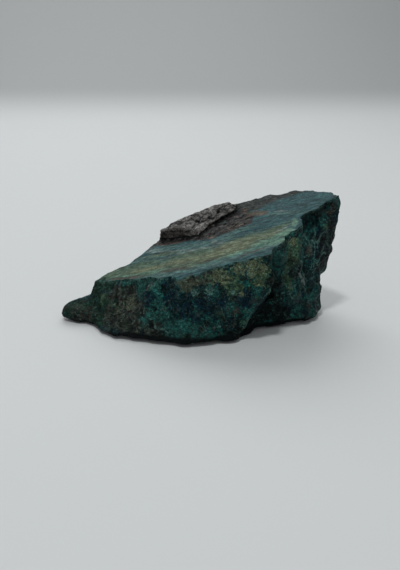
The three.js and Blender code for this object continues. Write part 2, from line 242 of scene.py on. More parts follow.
stoneShape = {
    "weld": 0.01,              # corners of the solid closer than this are one
    "looksUp": 0.7,            # a flat that looks up at least this much may be the sawn one
    "onPlane": (0.9995, 0.02), # a face this parallel to the sawn plane and this near is in it
    "voxel": 0.40,             # size of the fine mesh's faces
    "smoothing": (0.5, -0.35), # pull of the odd and of the even rounds of smoothing
    "body": {
        "seed": 7,
        "stock": 3.0,          # rock above the sawn plane while the relief is made
        "rounds": 9,           # rounds of smoothing of the coarse faces
        "grounded": (0.2, 2.2),    # the relief grows between these heights
        "nose": (30, 38),      # the nose starts this far left of the middle
        "calm": 0.55,          # and has this much less relief
        "relief": {"Facet Size": 6.0, "Facet Height": 0.70, "Chip Size": 2.1, "Chip Height": 0.13,
                   "Grain Size": 0.9, "Grain Height": 0.06, "Layer Size": 3.0, "Layer Height": 0.0,
                   "Pit Size": 1.6, "Pit Depth": 0.15},
    },
    # lumps and hollows: x, y, z, radius and how far each stands out
    "bulges": [(-47.0, -9.5, 2.2, 4.2, 0.9), (39.0, -4.2, 35.5, 4.2, -1.5), (44.5, -0.5, 38.0, 3.0, -0.7),
               (50.0, 2.4, 43.6, 2.6, -1.1), (-26.5, 2.0, 14.5, 5.0, 1.1), (22.5, -18.5, 6.5, 4.0, -1.2),
               (-31.0, -16.5, 2.0, 3.5, -0.9)],
    "swells": [(-45.0, -8.0, 5.5, 1.13), (-40.0, -2.0, 3.6, 1.22)],   # x, y, radius and growth in height
    "foot": {
        "push": 3.6,           # the front's foot stands out this much more
        "left": (-38, -29),    # it starts to between these x, and ends between the next
        "right": (11, 23),
        "front": (8, 18),      # this far in front of the middle
        "height": 5.5,
        "gap": 0.8,            # the rim of the underside stands this far off the table
        "reach": 4.0,          # and that gap runs this far in
        "full": 0.6,
        "fade": 3.2,           # it dies away up to this height
        "touching": 0.25,      # what is lower than this rests on the table
        "cell": 0.5,           # grid that tells how far in a point lies
        "rounds": 4,
        "wave": (0.75, 0.25),  # the gap's middle and swing, as shares of it
        "waveTurns": (0.31, 1.0, 0.27),
    },
    "sawCut": {
        "seed": 12,
        "cell": 0.55,          # grid of the sawn surface
        "margin": 8.0,         # the block reaches this far past the stone
        "bottom": -5.0,
        "flat": 0.06,          # share of the relief where the sawn face is smooth
        "strip": (-1.5, 2.0),  # soft edge of the rough strip, and of the worn skin
        "skin": (-1.5, 2.5),
        "skinShare": 0.25,
        "relief": {"Facet Size": 4.0, "Facet Height": 0.25, "Chip Size": 1.4, "Chip Height": 0.14,
                   "Grain Size": 0.7, "Grain Height": 0.09, "Layer Size": 3.0, "Layer Height": 0.0,
                   "Pit Size": 1.4, "Pit Depth": 0.45},
    },
    "ledge": {
        "seed": 16,
        "above": 0.06,         # cut off the solid this far above the sawn plane
        "root": 1.6,           # and carried this far down into the stone
        "rounds": 4,
        # times its height at these x
        "growth": [(-17, 1.35), (-15, 1.3), (-12, 1.05), (-8, 1.3), (-3, 1.05), (1, 0.92), (5, 1.0),
                   (9, 1.3), (11, 1.45), (13, 0.8), (15, 0.2)],
        # times its depth at these x, measured from its back
        "depth": [(-17, 1.0), (-12, 1.12), (-5, 1.2), (-1, 1.45), (3, 1.5), (7, 1.35), (12, 1.25), (16, 1.1)],
        "back": 22.0,
        "upright": (0.4, 2.6), # the left part's front stands up between these heights
        "uprightEnd": (-2, 6),
        "lean": 0.5,           # its left end leans in by this much of its height
        "leanFrom": (11, 16),
        "layers": (-0.25, -0.15, 0.95),    # the way up through its slabs
        "relief": {"Facet Size": 6.0, "Facet Height": 0.10, "Chip Size": 2.2, "Chip Height": 0.10,
                   "Grain Size": 0.7, "Grain Height": 0.11, "Layer Size": 1.1, "Layer Height": 0.40,
                   "Pit Size": 1.6, "Pit Depth": 0.20},
    },
    "corner": {
        "x": (33, 40),         # the far right corner is worn round from here
        "y": (-3, 2),
        "slant": (42, 0.4),    # the worn part's edge runs through this x, this steeply
        "height": 2.5,
        "pull": 0.5,
        "rounds": 14,
    },
    "finish": {
        "sawn": 0.35,          # faces this near the sawn plane are sawn
        "flat": 0.8,           # if they lie this flat in it
        "pitted": -1.2,        # round the ledge they may lie this deep
        "steep": 0.2,
        "pittedX": (-19, 18),
        "pittedY": 4,
    },
}

# outline of the rough strip in front of the ledge, x and y
roughStrip = [(-20, 12.6), (-12.5, 8.4), (-5, 5.6), (0, 2.6), (5, 0.5), (10, 1.4), (18.4, 2.8),
              (19.4, 8), (17.6, 12), (15.8, 20), (4, 26), (-14, 24), (-19, 18)]

# outline of the worn skin along the back edge
backStrip = [(15, 14), (21, 12.5), (26, 15), (33, 15.2), (38, 14.6), (44, 13), (52, 12), (42, 22),
             (28, 30), (12, 30)]


def applied(thing):
    # the modifiers' result becomes the plain mesh
    graph = bpy.context.evaluated_depsgraph_get()
    mesh = bpy.data.meshes.new_from_object(thing.evaluated_get(graph))
    thing.modifiers.clear()
    thing.data = mesh
    return mesh


def meshOf(form, name):
    mesh = bpy.data.meshes.new(name)
    form.to_mesh(mesh)
    form.free()
    return mesh


def verticesOf(mesh):
    points = np.empty(len(mesh.vertices) * 3)
    mesh.vertices.foreach_get("co", points)
    return points.reshape(-1, 3)


def moveVertices(mesh, points):
    mesh.vertices.foreach_set("co", points.astype(np.float32).ravel())
    mesh.update()


def normalsOf(mesh):
    normals = np.empty(len(mesh.vertices) * 3, np.float32)
    mesh.vertex_normals.foreach_get("vector", normals)
    return normals.reshape(-1, 3).astype(float)


def edgesOf(mesh):
    ends = np.empty(len(mesh.edges) * 2, np.int32)
    mesh.edges.foreach_get("vertices", ends)
    return ends.reshape(-1, 2)


def neighbourMean(values, ends):
    count = np.bincount(ends.ravel(), minlength=len(values))
    if values.ndim == 1:
        total = np.bincount(ends[:, 0], values[ends[:, 1]], len(values))
        total += np.bincount(ends[:, 1], values[ends[:, 0]], len(values))
        return total / np.maximum(count, 1)
    return np.stack([neighbourMean(values[:, k], ends) for k in range(values.shape[1])], 1)


def setField(mesh, name, values):
    layer = mesh.attributes.get(name) or mesh.attributes.new(name, "FLOAT", "POINT")
    layer.data.foreach_set("value", values.astype(np.float32))


def smoothstep(low, high, values):
    share = np.clip((values - low) / (high - low), 0, 1)
    return share * share * (3 - 2 * share)


def outlineDistance(points, corners):
    # positive inside the outline, in its own units
    inside = np.zeros(len(points), bool)
    nearest = np.full(len(points), np.inf)
    for (ax, ay), (bx, by) in zip(corners, corners[1:] + corners[:1]):
        along = np.array([bx - ax, by - ay])
        offset = points - (ax, ay)
        share = np.clip(offset @ along / (along @ along), 0, 1)[:, None]
        nearest = np.minimum(nearest, np.linalg.norm(offset - share * along, axis=1))
        crosses = (ay > points[:, 1]) != (by > points[:, 1])
        with np.errstate(divide="ignore", invalid="ignore"):
            edge = ax + (points[:, 1] - ay) * (bx - ax) / (by - ay)
        inside ^= crosses & (points[:, 0] < edge)
    return np.where(inside, nearest, -nearest)


def mergedStone():
    form = bmesh.new()
    form.from_mesh(frame["nodes"]["stone"].data)
    bmesh.ops.remove_doubles(form, verts=form.verts, dist=stoneShape["weld"] * mm)
    form.normal_update()
    return form


def sawnPlane():
    # the widest flat that looks up is the sawn one
    form = mergedStone()
    flats = {}
    for face in form.faces:
        if face.normal.z > stoneShape["looksUp"]:
            key = tuple(round(c, 2) for c in face.normal)
            flats.setdefault(key, []).append(face)
    widest = max(flats.values(), key=lambda faces: sum(f.calc_area() for f in faces))
    total = sum(f.calc_area() for f in widest)
    normal = sum((f.normal * f.calc_area() for f in widest), Vector()) / total
    normal.normalize()
    offset = sum(normal.dot(f.calc_center_median()) * f.calc_area() for f in widest) / total
    form.free()
    return normal, offset


reliefPattern = {
    "drift": (0.11, 3.0),              # the facets' edges wander: scale and reach
    "facetTurn": (0.4, 0.7, 0.2),      # so that no plane lies along an axis
    "chipTurn": (0.9, 0.3, 1.1),
    "planeMiddle": 0.64,               # the planes' middle value
    "layerWander": (0.16, 1.4),        # the slabs wave: scale and reach, in slabs
    "pitEdges": (0.56, 0.70),
    "seeds": {"drift": 3.0, "facets": 11.0, "chips": 23.0, "grain": 41.0, "layers": 57.0, "pits": 71.0},
}


def reliefTree():
    tree = bpy.data.node_groups.new("brokenRelief", "GeometryNodeTree")
    tree.is_modifier = True
    face = tree.interface
    face.new_socket("Geometry", in_out="INPUT", socket_type="NodeSocketGeometry")
    for name in stoneShape["body"]["relief"]:
        face.new_socket(name, in_out="INPUT", socket_type="NodeSocketFloat")
    face.new_socket("Seed", in_out="INPUT", socket_type="NodeSocketFloat")
    face.new_socket("Material", in_out="INPUT", socket_type="NodeSocketMaterial")
    face.new_socket("Geometry", in_out="OUTPUT", socket_type="NodeSocketGeometry")
    given = tree.nodes.new("NodeGroupInput").outputs

    def seedOf(name):
        return math2(tree, "ADD", given["Seed"], reliefPattern["seeds"][name])

    def scaleOf(name):
        return math2(tree, "DIVIDE", 1.0, given[name])

    def raised(value, middle, height, factor):
        return math2(tree, "MULTIPLY", math2(tree, "SUBTRACT", value, middle),
                     math2(tree, "MULTIPLY", height, factor))

    def pointField(name):
        return put(tree, "GeometryNodeInputNamedAttribute", {"Name": name}, data_type="FLOAT").outputs[0]

    place = scaled(tree, put(tree, "GeometryNodeInputPosition").outputs[0], 1 / mm)
    scale, reach = reliefPattern["drift"]
    bent = drifted(tree, place, noisy(tree, place, scale, 2.0, seed=seedOf("drift"))["Color"], reach)

    def planes(name, turn, metric):
        # this distance is made of flat slopes, so the surface breaks into planes
        turned = put(tree, "ShaderNodeVectorRotate", {"Vector": bent, "Rotation": reliefPattern[turn]},
                     rotation_type="EULER_XYZ").outputs[0]
        spot = voronoi(tree, turned, scaleOf(name + " Size"), seedOf(name.lower() + "s"), distance=metric)
        rise = math2(tree, "SUBTRACT", reliefPattern["planeMiddle"], spot["Distance"])
        return raised(rise, 0.0, given[name + " Height"], 2.0)

    grain = noisy(tree, place, scaleOf("Grain Size"), 3.0, 0.6, seed=seedOf("grain"))["Fac"]
    scale, reach = reliefPattern["layerWander"]
    wander = noisy(tree, place, scale, 2.0, seed=seedOf("layers"))["Fac"]
    level = math2(tree, "DIVIDE", pointField("layerLevel"), given["Layer Size"])
    level = math2(tree, "ADD", level, math2(tree, "MULTIPLY", wander, reach))
    slab = put(tree, "ShaderNodeTexWhiteNoise", {"W": math2(tree, "FLOOR", level)}, noise_dimensions="1D")
    pits = noisy(tree, place, scaleOf("Pit Size"), 2.0, seed=seedOf("pits"))["Fac"]
    total = planes("Facet", "facetTurn", "MANHATTAN")
    for part in (planes("Chip", "chipTurn", "CHEBYCHEV"),
                 raised(grain, 0.5, given["Grain Height"], 3.0),
                 raised(slab.outputs["Value"], 0.5, given["Layer Height"], 2.0),
                 raised(eased(tree, pits, *reliefPattern["pitEdges"]), 0.0, given["Pit Depth"], -1.0)):
        total = math2(tree, "ADD", total, part)
    total = math2(tree, "MULTIPLY", math2(tree, "MULTIPLY", total, pointField("relief")), mm)
    shift = scaled(tree, put(tree, "GeometryNodeInputNormal").outputs[0], total)
    moved = put(tree, "GeometryNodeSetPosition", {"Geometry": given["Geometry"], "Offset": shift})
    real = put(tree, "GeometryNodeRealizeInstances", {"Geometry": moved.outputs[0]})
    dressed = put(tree, "GeometryNodeSetMaterial",
                  {"Geometry": real.outputs[0], "Material": given["Material"]})
    feed(tree, tree.nodes.new("NodeGroupOutput").inputs[0], dressed.outputs[0])
    return tree


def roughen(thing, tree, sizes, seed, material):
    modifier = thing.modifiers.new("relief", "NODES")
    modifier.node_group = tree
    values = {**sizes, "Seed": float(seed), "Material": material}
    for socket in tree.interface.items_tree:
        if socket.in_out == "INPUT" and socket.name in values:
            modifier[socket.identifier] = values[socket.name]
    applied(thing)


def fineMesh(thing, rounds):
    remesh = thing.modifiers.new("fine", "REMESH")
    remesh.mode = "VOXEL"
    remesh.voxel_size = stoneShape["voxel"] * mm
    mesh = applied(thing)
    points, ends = verticesOf(mesh), edgesOf(mesh)
    for turn in range(rounds):
        points = points + stoneShape["smoothing"][turn % 2] * (neighbourMean(points, ends) - points)
    moveVertices(mesh, points)
    return mesh


def bulge(mesh):
    points, facing = verticesOf(mesh) / mm, normalsOf(mesh)
    for x, y, z, radius, push in stoneShape["bulges"]:
        away = np.linalg.norm(points - (x, y, z), axis=1) / radius
        points += facing * (push * np.exp(-away * away))[:, None]
    points[:, 2] = np.maximum(points[:, 2], 0)
    moveVertices(mesh, points * mm)


def swell(points):
    for x, y, radius, growth in stoneShape["swells"]:
        away = np.hypot(points[:, 0] - x, points[:, 1] - y) / radius
        points[:, 2] *= 1 + (growth - 1) * np.exp(-away * away)


def pushFoot(points):
    foot = stoneShape["foot"]
    x, y, z = points.T
    front = smoothstep(*foot["left"], x) * (1 - smoothstep(*foot["right"], x))
    front *= smoothstep(*foot["front"], -y) * np.exp(-(z / foot["height"]) ** 2)
    points[:, 1] -= foot["push"] * front


def grown(cells, outwards):
    # one cell wider all round, or one cell narrower
    near = np.stack([np.roll(cells, shift, axis) for shift in (-1, 1) for axis in (0, 1)] + [cells])
    return near.any(0) if outwards else near.all(0)


def reachIn(points, ends):
    # how far in from the underside's outline each point lies, counted on a grid
    foot = stoneShape["foot"]
    cell = foot["cell"]
    spots = ((points[:, :2] - points.min(0)[:2]) / cell).astype(int) + 2
    onTable = np.zeros(spots.max(0) + 3, bool)
    resting = points[:, 2] < foot["touching"]
    onTable[spots[resting, 0], spots[resting, 1]] = True
    onTable = grown(onTable, True)
    depth = np.zeros(onTable.shape)
    for _ in range(int(foot["reach"] / cell) + 2):
        onTable = grown(onTable, False)
        depth += onTable * cell
    inward = depth[spots[:, 0], spots[:, 1]]
    for _ in range(foot["rounds"]):
        inward = neighbourMean(inward, ends)
    return inward


def shapeFoot(mesh):
    # the underside leaves the table near its outline, so a dark gap runs along the foot
    foot = stoneShape["foot"]
    points = verticesOf(mesh) / mm
    swell(points)
    pushFoot(points)
    inward = reachIn(points, edgesOf(mesh))
    middle, swing = foot["wave"]
    along, start, across = foot["waveTurns"]
    wave = middle + swing * np.sin(points[:, 0] * along + start) * np.cos(points[:, 1] * across)
    gap = foot["gap"] * wave * (1 - smoothstep(foot["full"], foot["reach"], inward))
    points[:, 2] += gap * (1 - smoothstep(0.0, foot["fade"], points[:, 2]))
    moveVertices(mesh, points * mm)


def makeBody(normal, offset, tree, material):
    shape = stoneShape["body"]
    form = mergedStone()
    parallel, near = stoneShape["onPlane"]
    flat = [f for f in form.faces if f.normal.dot(normal) > parallel
            and abs(normal.dot(f.calc_center_median()) - offset) < near * mm]
    raised = bmesh.ops.extrude_face_region(form, geom=flat)["geom"]
    tops = [v for v in raised if isinstance(v, bmesh.types.BMVert)]
    bmesh.ops.translate(form, verts=tops, vec=Vector((0, 0, shape["stock"] * mm)))
    body = linked("body", meshOf(form, "body"))
    mesh = fineMesh(body, shape["rounds"])
    points = verticesOf(mesh) / mm
    calm = shape["calm"] * smoothstep(*shape["nose"], -points[:, 0])
    setField(mesh, "relief", smoothstep(*shape["grounded"], points[:, 2]) * (1 - calm))
    setField(mesh, "layerLevel", points[:, 2] * 0)
    roughen(body, tree, shape["relief"], shape["seed"], material)
    bulge(body.data)
    shapeFoot(body.data)
    return body


def makeSawCut(normal, offset, tree, material):
    # a block whose top is the sawn surface; what lies in it stays
    shape = stoneShape["sawCut"]
    margin = Vector((shape["margin"], shape["margin"], 0)) * mm
    low, high = cadLow - margin, cadHigh + margin
    cell, bottom = shape["cell"] * mm, shape["bottom"] * mm
    across, deep = int((high.x - low.x) / cell), int((high.y - low.y) / cell)
    form = bmesh.new()
    bmesh.ops.create_grid(form, x_segments=across, y_segments=deep, size=0.5)
    for v in form.verts:
        v.co.x = low.x + (v.co.x + 0.5) * (high.x - low.x)
        v.co.y = low.y + (v.co.y + 0.5) * (high.y - low.y)
        v.co.z = (offset - normal.x * v.co.x - normal.y * v.co.y) / normal.z
    under = list(form.verts)
    bmesh.ops.extrude_face_region(form, geom=form.faces[:], use_keep_orig=True)
    for v in under:
        v.co.z = bottom
    bmesh.ops.recalc_face_normals(form, faces=form.faces)
    block = linked("sawCut", meshOf(form, "sawCut"))
    points = verticesOf(block.data)
    onTop = points[:, 2] > bottom + 1e-6
    strip = smoothstep(*shape["strip"], outlineDistance(points[:, :2] / mm, roughStrip))
    skin = smoothstep(*shape["skin"], outlineDistance(points[:, :2] / mm, backStrip))
    rough = np.maximum(strip, shape["skinShare"] * skin)
    setField(block.data, "relief", onTop * (shape["flat"] + (1 - shape["flat"]) * rough))
    setField(block.data, "layerLevel", onTop * 0.0)
    roughen(block, tree, shape["relief"], shape["seed"], material)
    return block


def growLedge(points, normal, offset):
    # smoothing will wear the ledge down, so it is made higher, and its front is brought forward
    shape = stoneShape["ledge"]
    above = points @ np.array(normal) - offset
    growth = np.interp(points[:, 0] / mm, *zip(*shape["growth"]))
    points = points + np.outer(np.maximum(above, 0) * (growth - 1), normal)
    x = points[:, 0] / mm
    depth = np.interp(x, *zip(*shape["depth"]))
    upright = smoothstep(*shape["upright"], above / mm) * (1 - smoothstep(*shape["uprightEnd"], x))
    shift = np.minimum(points[:, 1] - shape["back"] * mm, 0) * (depth - 1) * (1 - upright)
    points[:, 1] += shift
    points[:, 2] -= shift * normal.y / normal.z
    points[:, 0] += np.maximum(above, 0) * shape["lean"] * smoothstep(*shape["leanFrom"], -x)
    return points


def makeLedge(normal, offset, tree, material):
    shape = stoneShape["ledge"]
    form = mergedStone()
    found = bmesh.ops.bisect_plane(form, geom=form.verts[:] + form.edges[:] + form.faces[:], dist=1e-7,
                                   plane_co=normal * (offset + shape["above"] * mm), plane_no=normal,
                                   clear_inner=True)
    rim = [e for e in found["geom_cut"] if isinstance(e, bmesh.types.BMEdge)]
    deeper = bmesh.ops.extrude_edge_only(form, edges=rim)["geom"]
    feet = [v for v in deeper if isinstance(v, bmesh.types.BMVert)]
    bmesh.ops.translate(form, verts=feet, vec=Vector((0, 0, -shape["root"] * mm)))
    bmesh.ops.holes_fill(form, edges=[e for e in form.edges if e.is_boundary])
    bmesh.ops.triangulate(form, faces=form.faces)
    bmesh.ops.recalc_face_normals(form, faces=form.faces)
    ledge = linked("ledge", meshOf(form, "ledge"))
    moveVertices(ledge.data, growLedge(verticesOf(ledge.data), normal, offset))
    mesh = fineMesh(ledge, shape["rounds"])
    points = verticesOf(mesh) / mm
    setField(mesh, "relief", np.ones(len(points)))
    setField(mesh, "layerLevel", points @ np.array(shape["layers"]))
    roughen(ledge, tree, shape["relief"], shape["seed"], material)
    return ledge


def combine(thing, other, operation):
    modifier = thing.modifiers.new("combine", "BOOLEAN")
    modifier.operation = operation
    modifier.solver = "MANIFOLD"
    modifier.object = other
    applied(thing)
    bpy.data.objects.remove(other)


def easeCorner(mesh, normal, offset):
    # the rim is worn round at the far right corner
    corner = stoneShape["corner"]
    points, ends = verticesOf(mesh) / mm, edgesOf(mesh)
    above = points @ np.array(normal) - offset / mm
    middle, slope = corner["slant"]
    wear = smoothstep(*corner["x"], points[:, 0])
    wear *= smoothstep(*corner["y"], points[:, 1] - slope * (points[:, 0] - middle))
    wear = (corner["pull"] * wear * np.exp(-(above / corner["height"]) ** 2))[:, None]
    for _ in range(corner["rounds"]):
        points = points + wear * (neighbourMean(points, ends) - points)
    moveVertices(mesh, points * mm)


def giveSlots(thing, materials, own):
    thing.data.materials.clear()
    for material in materials:
        thing.data.materials.append(material)
    count = len(thing.data.polygons)
    thing.data.polygons.foreach_set("material_index", np.full(count, own, np.int32))


def sortFaces(mesh, normal, offset):
    # broken stone, sawn stone or host rock, by where each face lies against the sawn plane
    limit = stoneShape["finish"]
    count = len(mesh.polygons)
    centres, facing = np.empty(count * 3, np.float32), np.empty(count * 3, np.float32)
    mesh.polygons.foreach_get("center", centres)
    mesh.polygons.foreach_get("normal", facing)
    centres, facing = centres.reshape(-1, 3), facing.reshape(-1, 3)
    above = (centres @ np.array(normal) - offset) / mm
    along = facing @ np.array(normal)
    near = limit["sawn"]
    kind = np.zeros(count, np.int32)
    kind[(np.abs(above) < near) & (along > limit["flat"])] = 1
    kind[above > near] = 2
    x, y = centres[:, 0] / mm, centres[:, 1] / mm
    left, right = limit["pittedX"]
    byLedge = (x > left) & (x < right) & (y > limit["pittedY"])
    flat = (above > -near) | (along > limit["steep"])
    kind[(above > limit["pitted"]) & (above <= near) & flat & byLedge] = 1
    mesh.polygons.foreach_set("material_index", kind)
    mesh.update()
    print("faces by finish", np.bincount(kind))


# patches on the broken faces: x, y, z and radius
brokenPatches = {
    "brown": [
        (-31.5, -15.6, 5.6, 2.4), (-25, -15.7, 11, 4.2), (-27.5, -18, 5, 4.2), (-22, -22, 2.7, 4.0),
        (-16.5, -23.7, 2.6, 3.2), (-28.5, -12, 12, 2.6), (-41.4, -11.6, 2.3, 2.2), (-21.5, -19.5, 9, 3.2),
        (8, -24.5, 6.2, 1.2), (-24, -13, 14.8, 1.6),
    ],
    "tan": [
        (-4.5, -23.3, 20.2, 3.0), (-1.0, -23.9, 21.0, 1.6), (-24, -17, 10, 2.6), (-29, -16, 9, 2.4),
    ],
    "ochre": [
        (5.5, -23.7, 23, 2.4), (8, -24.2, 22, 2.2), (12.8, -24.4, 25.6, 2.0), (17, -25.7, 27.4, 2.6),
        (19.8, -25.5, 25.4, 2.2), (16.5, -25.6, 24.2, 2.0), (13.6, -25.5, 17.2, 0.8),
        (31.0, -14.4, 31.5, 1.6), (19, -25, 20.5, 1.4),
    ],
    "olive": [
        (-34, -10.0, 8.6, 1.8), (31.3, -14.4, 29.5, 2.8), (31, -14.4, 26, 3.0), (30.8, -14.3, 22.5, 3.0),
        (30.6, -14.8, 19.0, 2.6), (30.9, -15.5, 15.8, 1.6), (45, -2.3, 33, 1.4), (19.5, -25, 23, 3.4),
        (-24.5, -20.3, 4.8, 1.8), (10, -25, 21, 3.4), (2, -24, 22, 2.0), (15.5, -25.2, 6, 1.8),
    ],
    "leaf": [
        (-33, -6, 14.4, 4.2), (-36.4, -5.8, 10.6, 3.4), (-42, -7, 5, 3.0), (-38, -8, 6, 3.6),
        (-33, -12, 8, 3.4), (-45.5, -8, 4.5, 3.2), (-41, -9.5, 4.2, 2.6), (-35, -14.8, 3.8, 3.0),
        (-37.6, -12.4, 4.2, 3.0), (-33.6, -11.7, 7.7, 3.0),
    ],
    "teal": [
        (31.5, -14.2, 24, 2.6), (31.3, -14.4, 29, 2.4), (35.0, -9.5, 32, 3.0), (34.5, -11.5, 27, 2.4),
        (-20.5, -14.8, 15.6, 3.0), (-24, -12.8, 16.0, 1.8), (-15.5, -18, 17.4, 2.6),
        (-16.7, -22.9, 6.8, 3.6), (-8.3, -25.3, 4.3, 4.4), (-3.3, -25.6, 6.2, 3.4),
        (-13, -22.8, 9.7, 2.8), (-15, -21.6, 12.2, 2.2), (0, -26.3, 2.9, 3.2), (26, -19.6, 27, 3.4),
        (44, -1.5, 36, 3.6), (38, -7.5, 29, 3.0), (41, -7.4, 8.5, 2.4), (5, -25, 17.2, 1.6),
        (10.7, -25.6, 12.6, 2.0),
    ],
    "navy": [
        (-17.5, -19.2, 13.4, 2.0), (-9.0, -22.8, 15.0, 2.6), (-5, -24.3, 11.2, 2.8),
        (1.6, -25, 14.2, 2.8), (-1.3, -25.5, 9.0, 2.0), (15, -25.5, 15.0, 3.2), (-9.9, -23, 14.4, 2.4),
        (20.5, -24, 12, 2.4), (32.6, -14.0, 20.6, 2.0), (41.2, -4.9, 25, 3.0), (7.5, -25.8, 15, 2.0),
        (0, -23.8, 23.2, 1.2), (28, -16, 3.5, 2.6),
    ],
    # mostly painted shade: under the sawn rim, in the hollow beside the toe, in creases and along the foot
    "soot": [
        (33.0, -14.0, 20.8, 2.8), (39.2, -3.9, 37.8, 2.0), (41.6, -2.4, 38.6, 1.8), (44.2, -0.4, 40, 1.4),
        (21.2, -17.9, 7.5, 4.0), (17.1, -19, 3.1, 4.2), (25.5, -17.3, 12.4, 3.0), (28, -16.5, 5.5, 3.4),
        (23.0, -24.2, 21.4, 1.6), (39.4, -4.2, 38.6, 2.2), (37, -7, 37.2, 1.6), (-28, -20, 1.0, 2.0),
        (25.8, -17.6, 16.4, 1.2), (44.5, -1.0, 22, 2.0), (12, -25.5, 2.0, 2.6),
    ],
    "pale": [
        (10.8, -25.6, 17.8, 1.2), (-1.6, -24, 17.2, 1.4), (36.0, -8.7, 17.4, 1.3), (36, -8.8, 14.8, 1.1),
        (8.2, -25.8, 17.4, 1.3), (43, -6, 5.8, 1.6), (3.2, -24.6, 18, 1.6), (6.3, -25.7, 6.0, 1.0),
    ],
    "plum": [
        (44.8, -2.2, 28, 3.6), (44.5, -2.8, 23, 3.6), (43.5, -3.5, 19, 2.8), (46, -0.5, 33, 2.8),
        (47.5, 3, 26, 3.6),
    ],
    "shade": [
        (-10, -27, 3.0, 5.0), (1, -28, 3.0, 5.0), (-46, -8.5, 3.5, 5.0), (-41, -11, 3, 3.6),
        (42.5, -2.5, 38, 3.6), (39, -4.5, 37.5, 2.6), (42, -7, 4.5, 4.2), (36, -10, 6, 5.0),
        (28, -16, 5, 4.0), (38, -8, 14, 4.0), (27, -17.5, 24, 3.4),
    ],
    "veined": [
        (39, -7, 21, 8.5), (41, -5, 28, 6), (38.5, -7.5, 13, 6), (34, -11, 15, 3.5), (33.5, -11.5, 30, 4),
    ],
}

# patches on the sawn face: x, y, half length, half width and turn in degrees
sawnPatches = {
    "deep": [
        (18, -4, 8, 3.2, -10), (-4, -1.0, 5, 1.8, -20), (-14, 2.4, 6, 1.6, -16), (25, -6.5, 5, 1.6, 5),
        (9, -4.6, 4, 1.4, -5),
    ],
    "olive": [
        (-24, -5.0, 13, 5.6, -14), (-4, -9.0, 13, 5.4, -9), (13, -10.6, 11, 4.4, 0),
        (25, -8.6, 6, 2.4, 12), (-32, -2.6, 7, 3.4, -10), (-14, 0.5, 8, 1.4, -22),
        (2, -15.6, 15, 2.4, -3), (-13, -12.8, 9, 2.6, -18),
    ],
    "ochre": [
        (11, -11.2, 9, 3.4, 0), (-5, -10.4, 8, 2.0, -12), (-18, -7.8, 7, 1.6, -16),
        (4, -13.4, 6, 1.8, -6), (24, -11.6, 4, 1.6, 12), (15, -15.0, 6, 1.2, 2),
    ],
    "mint": [
        (20.5, -18.8, 5, 1.4, 4), (25, -18.4, 4.4, 2.0, 8), (29.6, -15.0, 2.4, 2.0, 30),
        (22, -15.4, 6, 2.2, 8), (28, -13.4, 3.6, 2.2, 26), (13, -17.2, 5, 1.1, 0),
        (32, -8.4, 1.0, 3.0, -8), (-16.5, -10.8, 6, 0.8, -20), (0, -17.4, 6, 0.9, -8),
        (-27, -6.8, 4, 0.8, -24),
    ],
    "sky": [
        (-14, 5.2, 8, 1.4, -16), (7.8, -3.2, 4.0, 1.6, -10), (13, 0.4, 6, 1.6, -4),
        (0, -1.8, 8, 2.0, -14), (-23, 1.6, 4, 1.2, -6), (4, -18.8, 14, 1.6, -3), (14, -19.8, 10, 1.5, 3),
        (-4, -17.6, 10, 1.2, -12), (-12, -15.8, 10, 1.6, -18), (30, 2.0, 8, 1.0, -34),
    ],
    "clay": [
        (-24, -10.2, 4.4, 1.2, -25), (-7.5, -14.9, 6, 1.2, -18), (-29, -7.4, 2.6, 1.0, -30),
        (3, -16.0, 4, 0.7, -6), (17, -19.6, 5, 0.6, 6),
    ],
    "chalk": [
        (-11.5, 1.8, 8.5, 0.5, -30), (4.9, -3.2, 0.8, 2.4, 6), (1.0, -5.0, 4.0, 0.5, -20),
        (7.2, -5.4, 2.6, 0.5, -30), (29, 4.6, 2.4, 0.35, -36), (-4.5, -4.0, 4.0, 0.4, -16),
        (28.5, -9.6, 3.0, 0.4, 12), (-17, 6.6, 2.2, 0.8, -20),
    ],
    "rust": [
        (16.8, 15, 4.4, 0.8, 86), (4.4, 1.6, 1.6, 1.0, 0), (-11, 7.6, 5, 0.8, -20), (13, 4.2, 4, 0.7, 6),
        (-19, 10, 2.6, 0.8, -28), (12, 6.6, 1.6, 0.7, 10), (21, 9.5, 4.0, 2.0, -35),
    ],
}

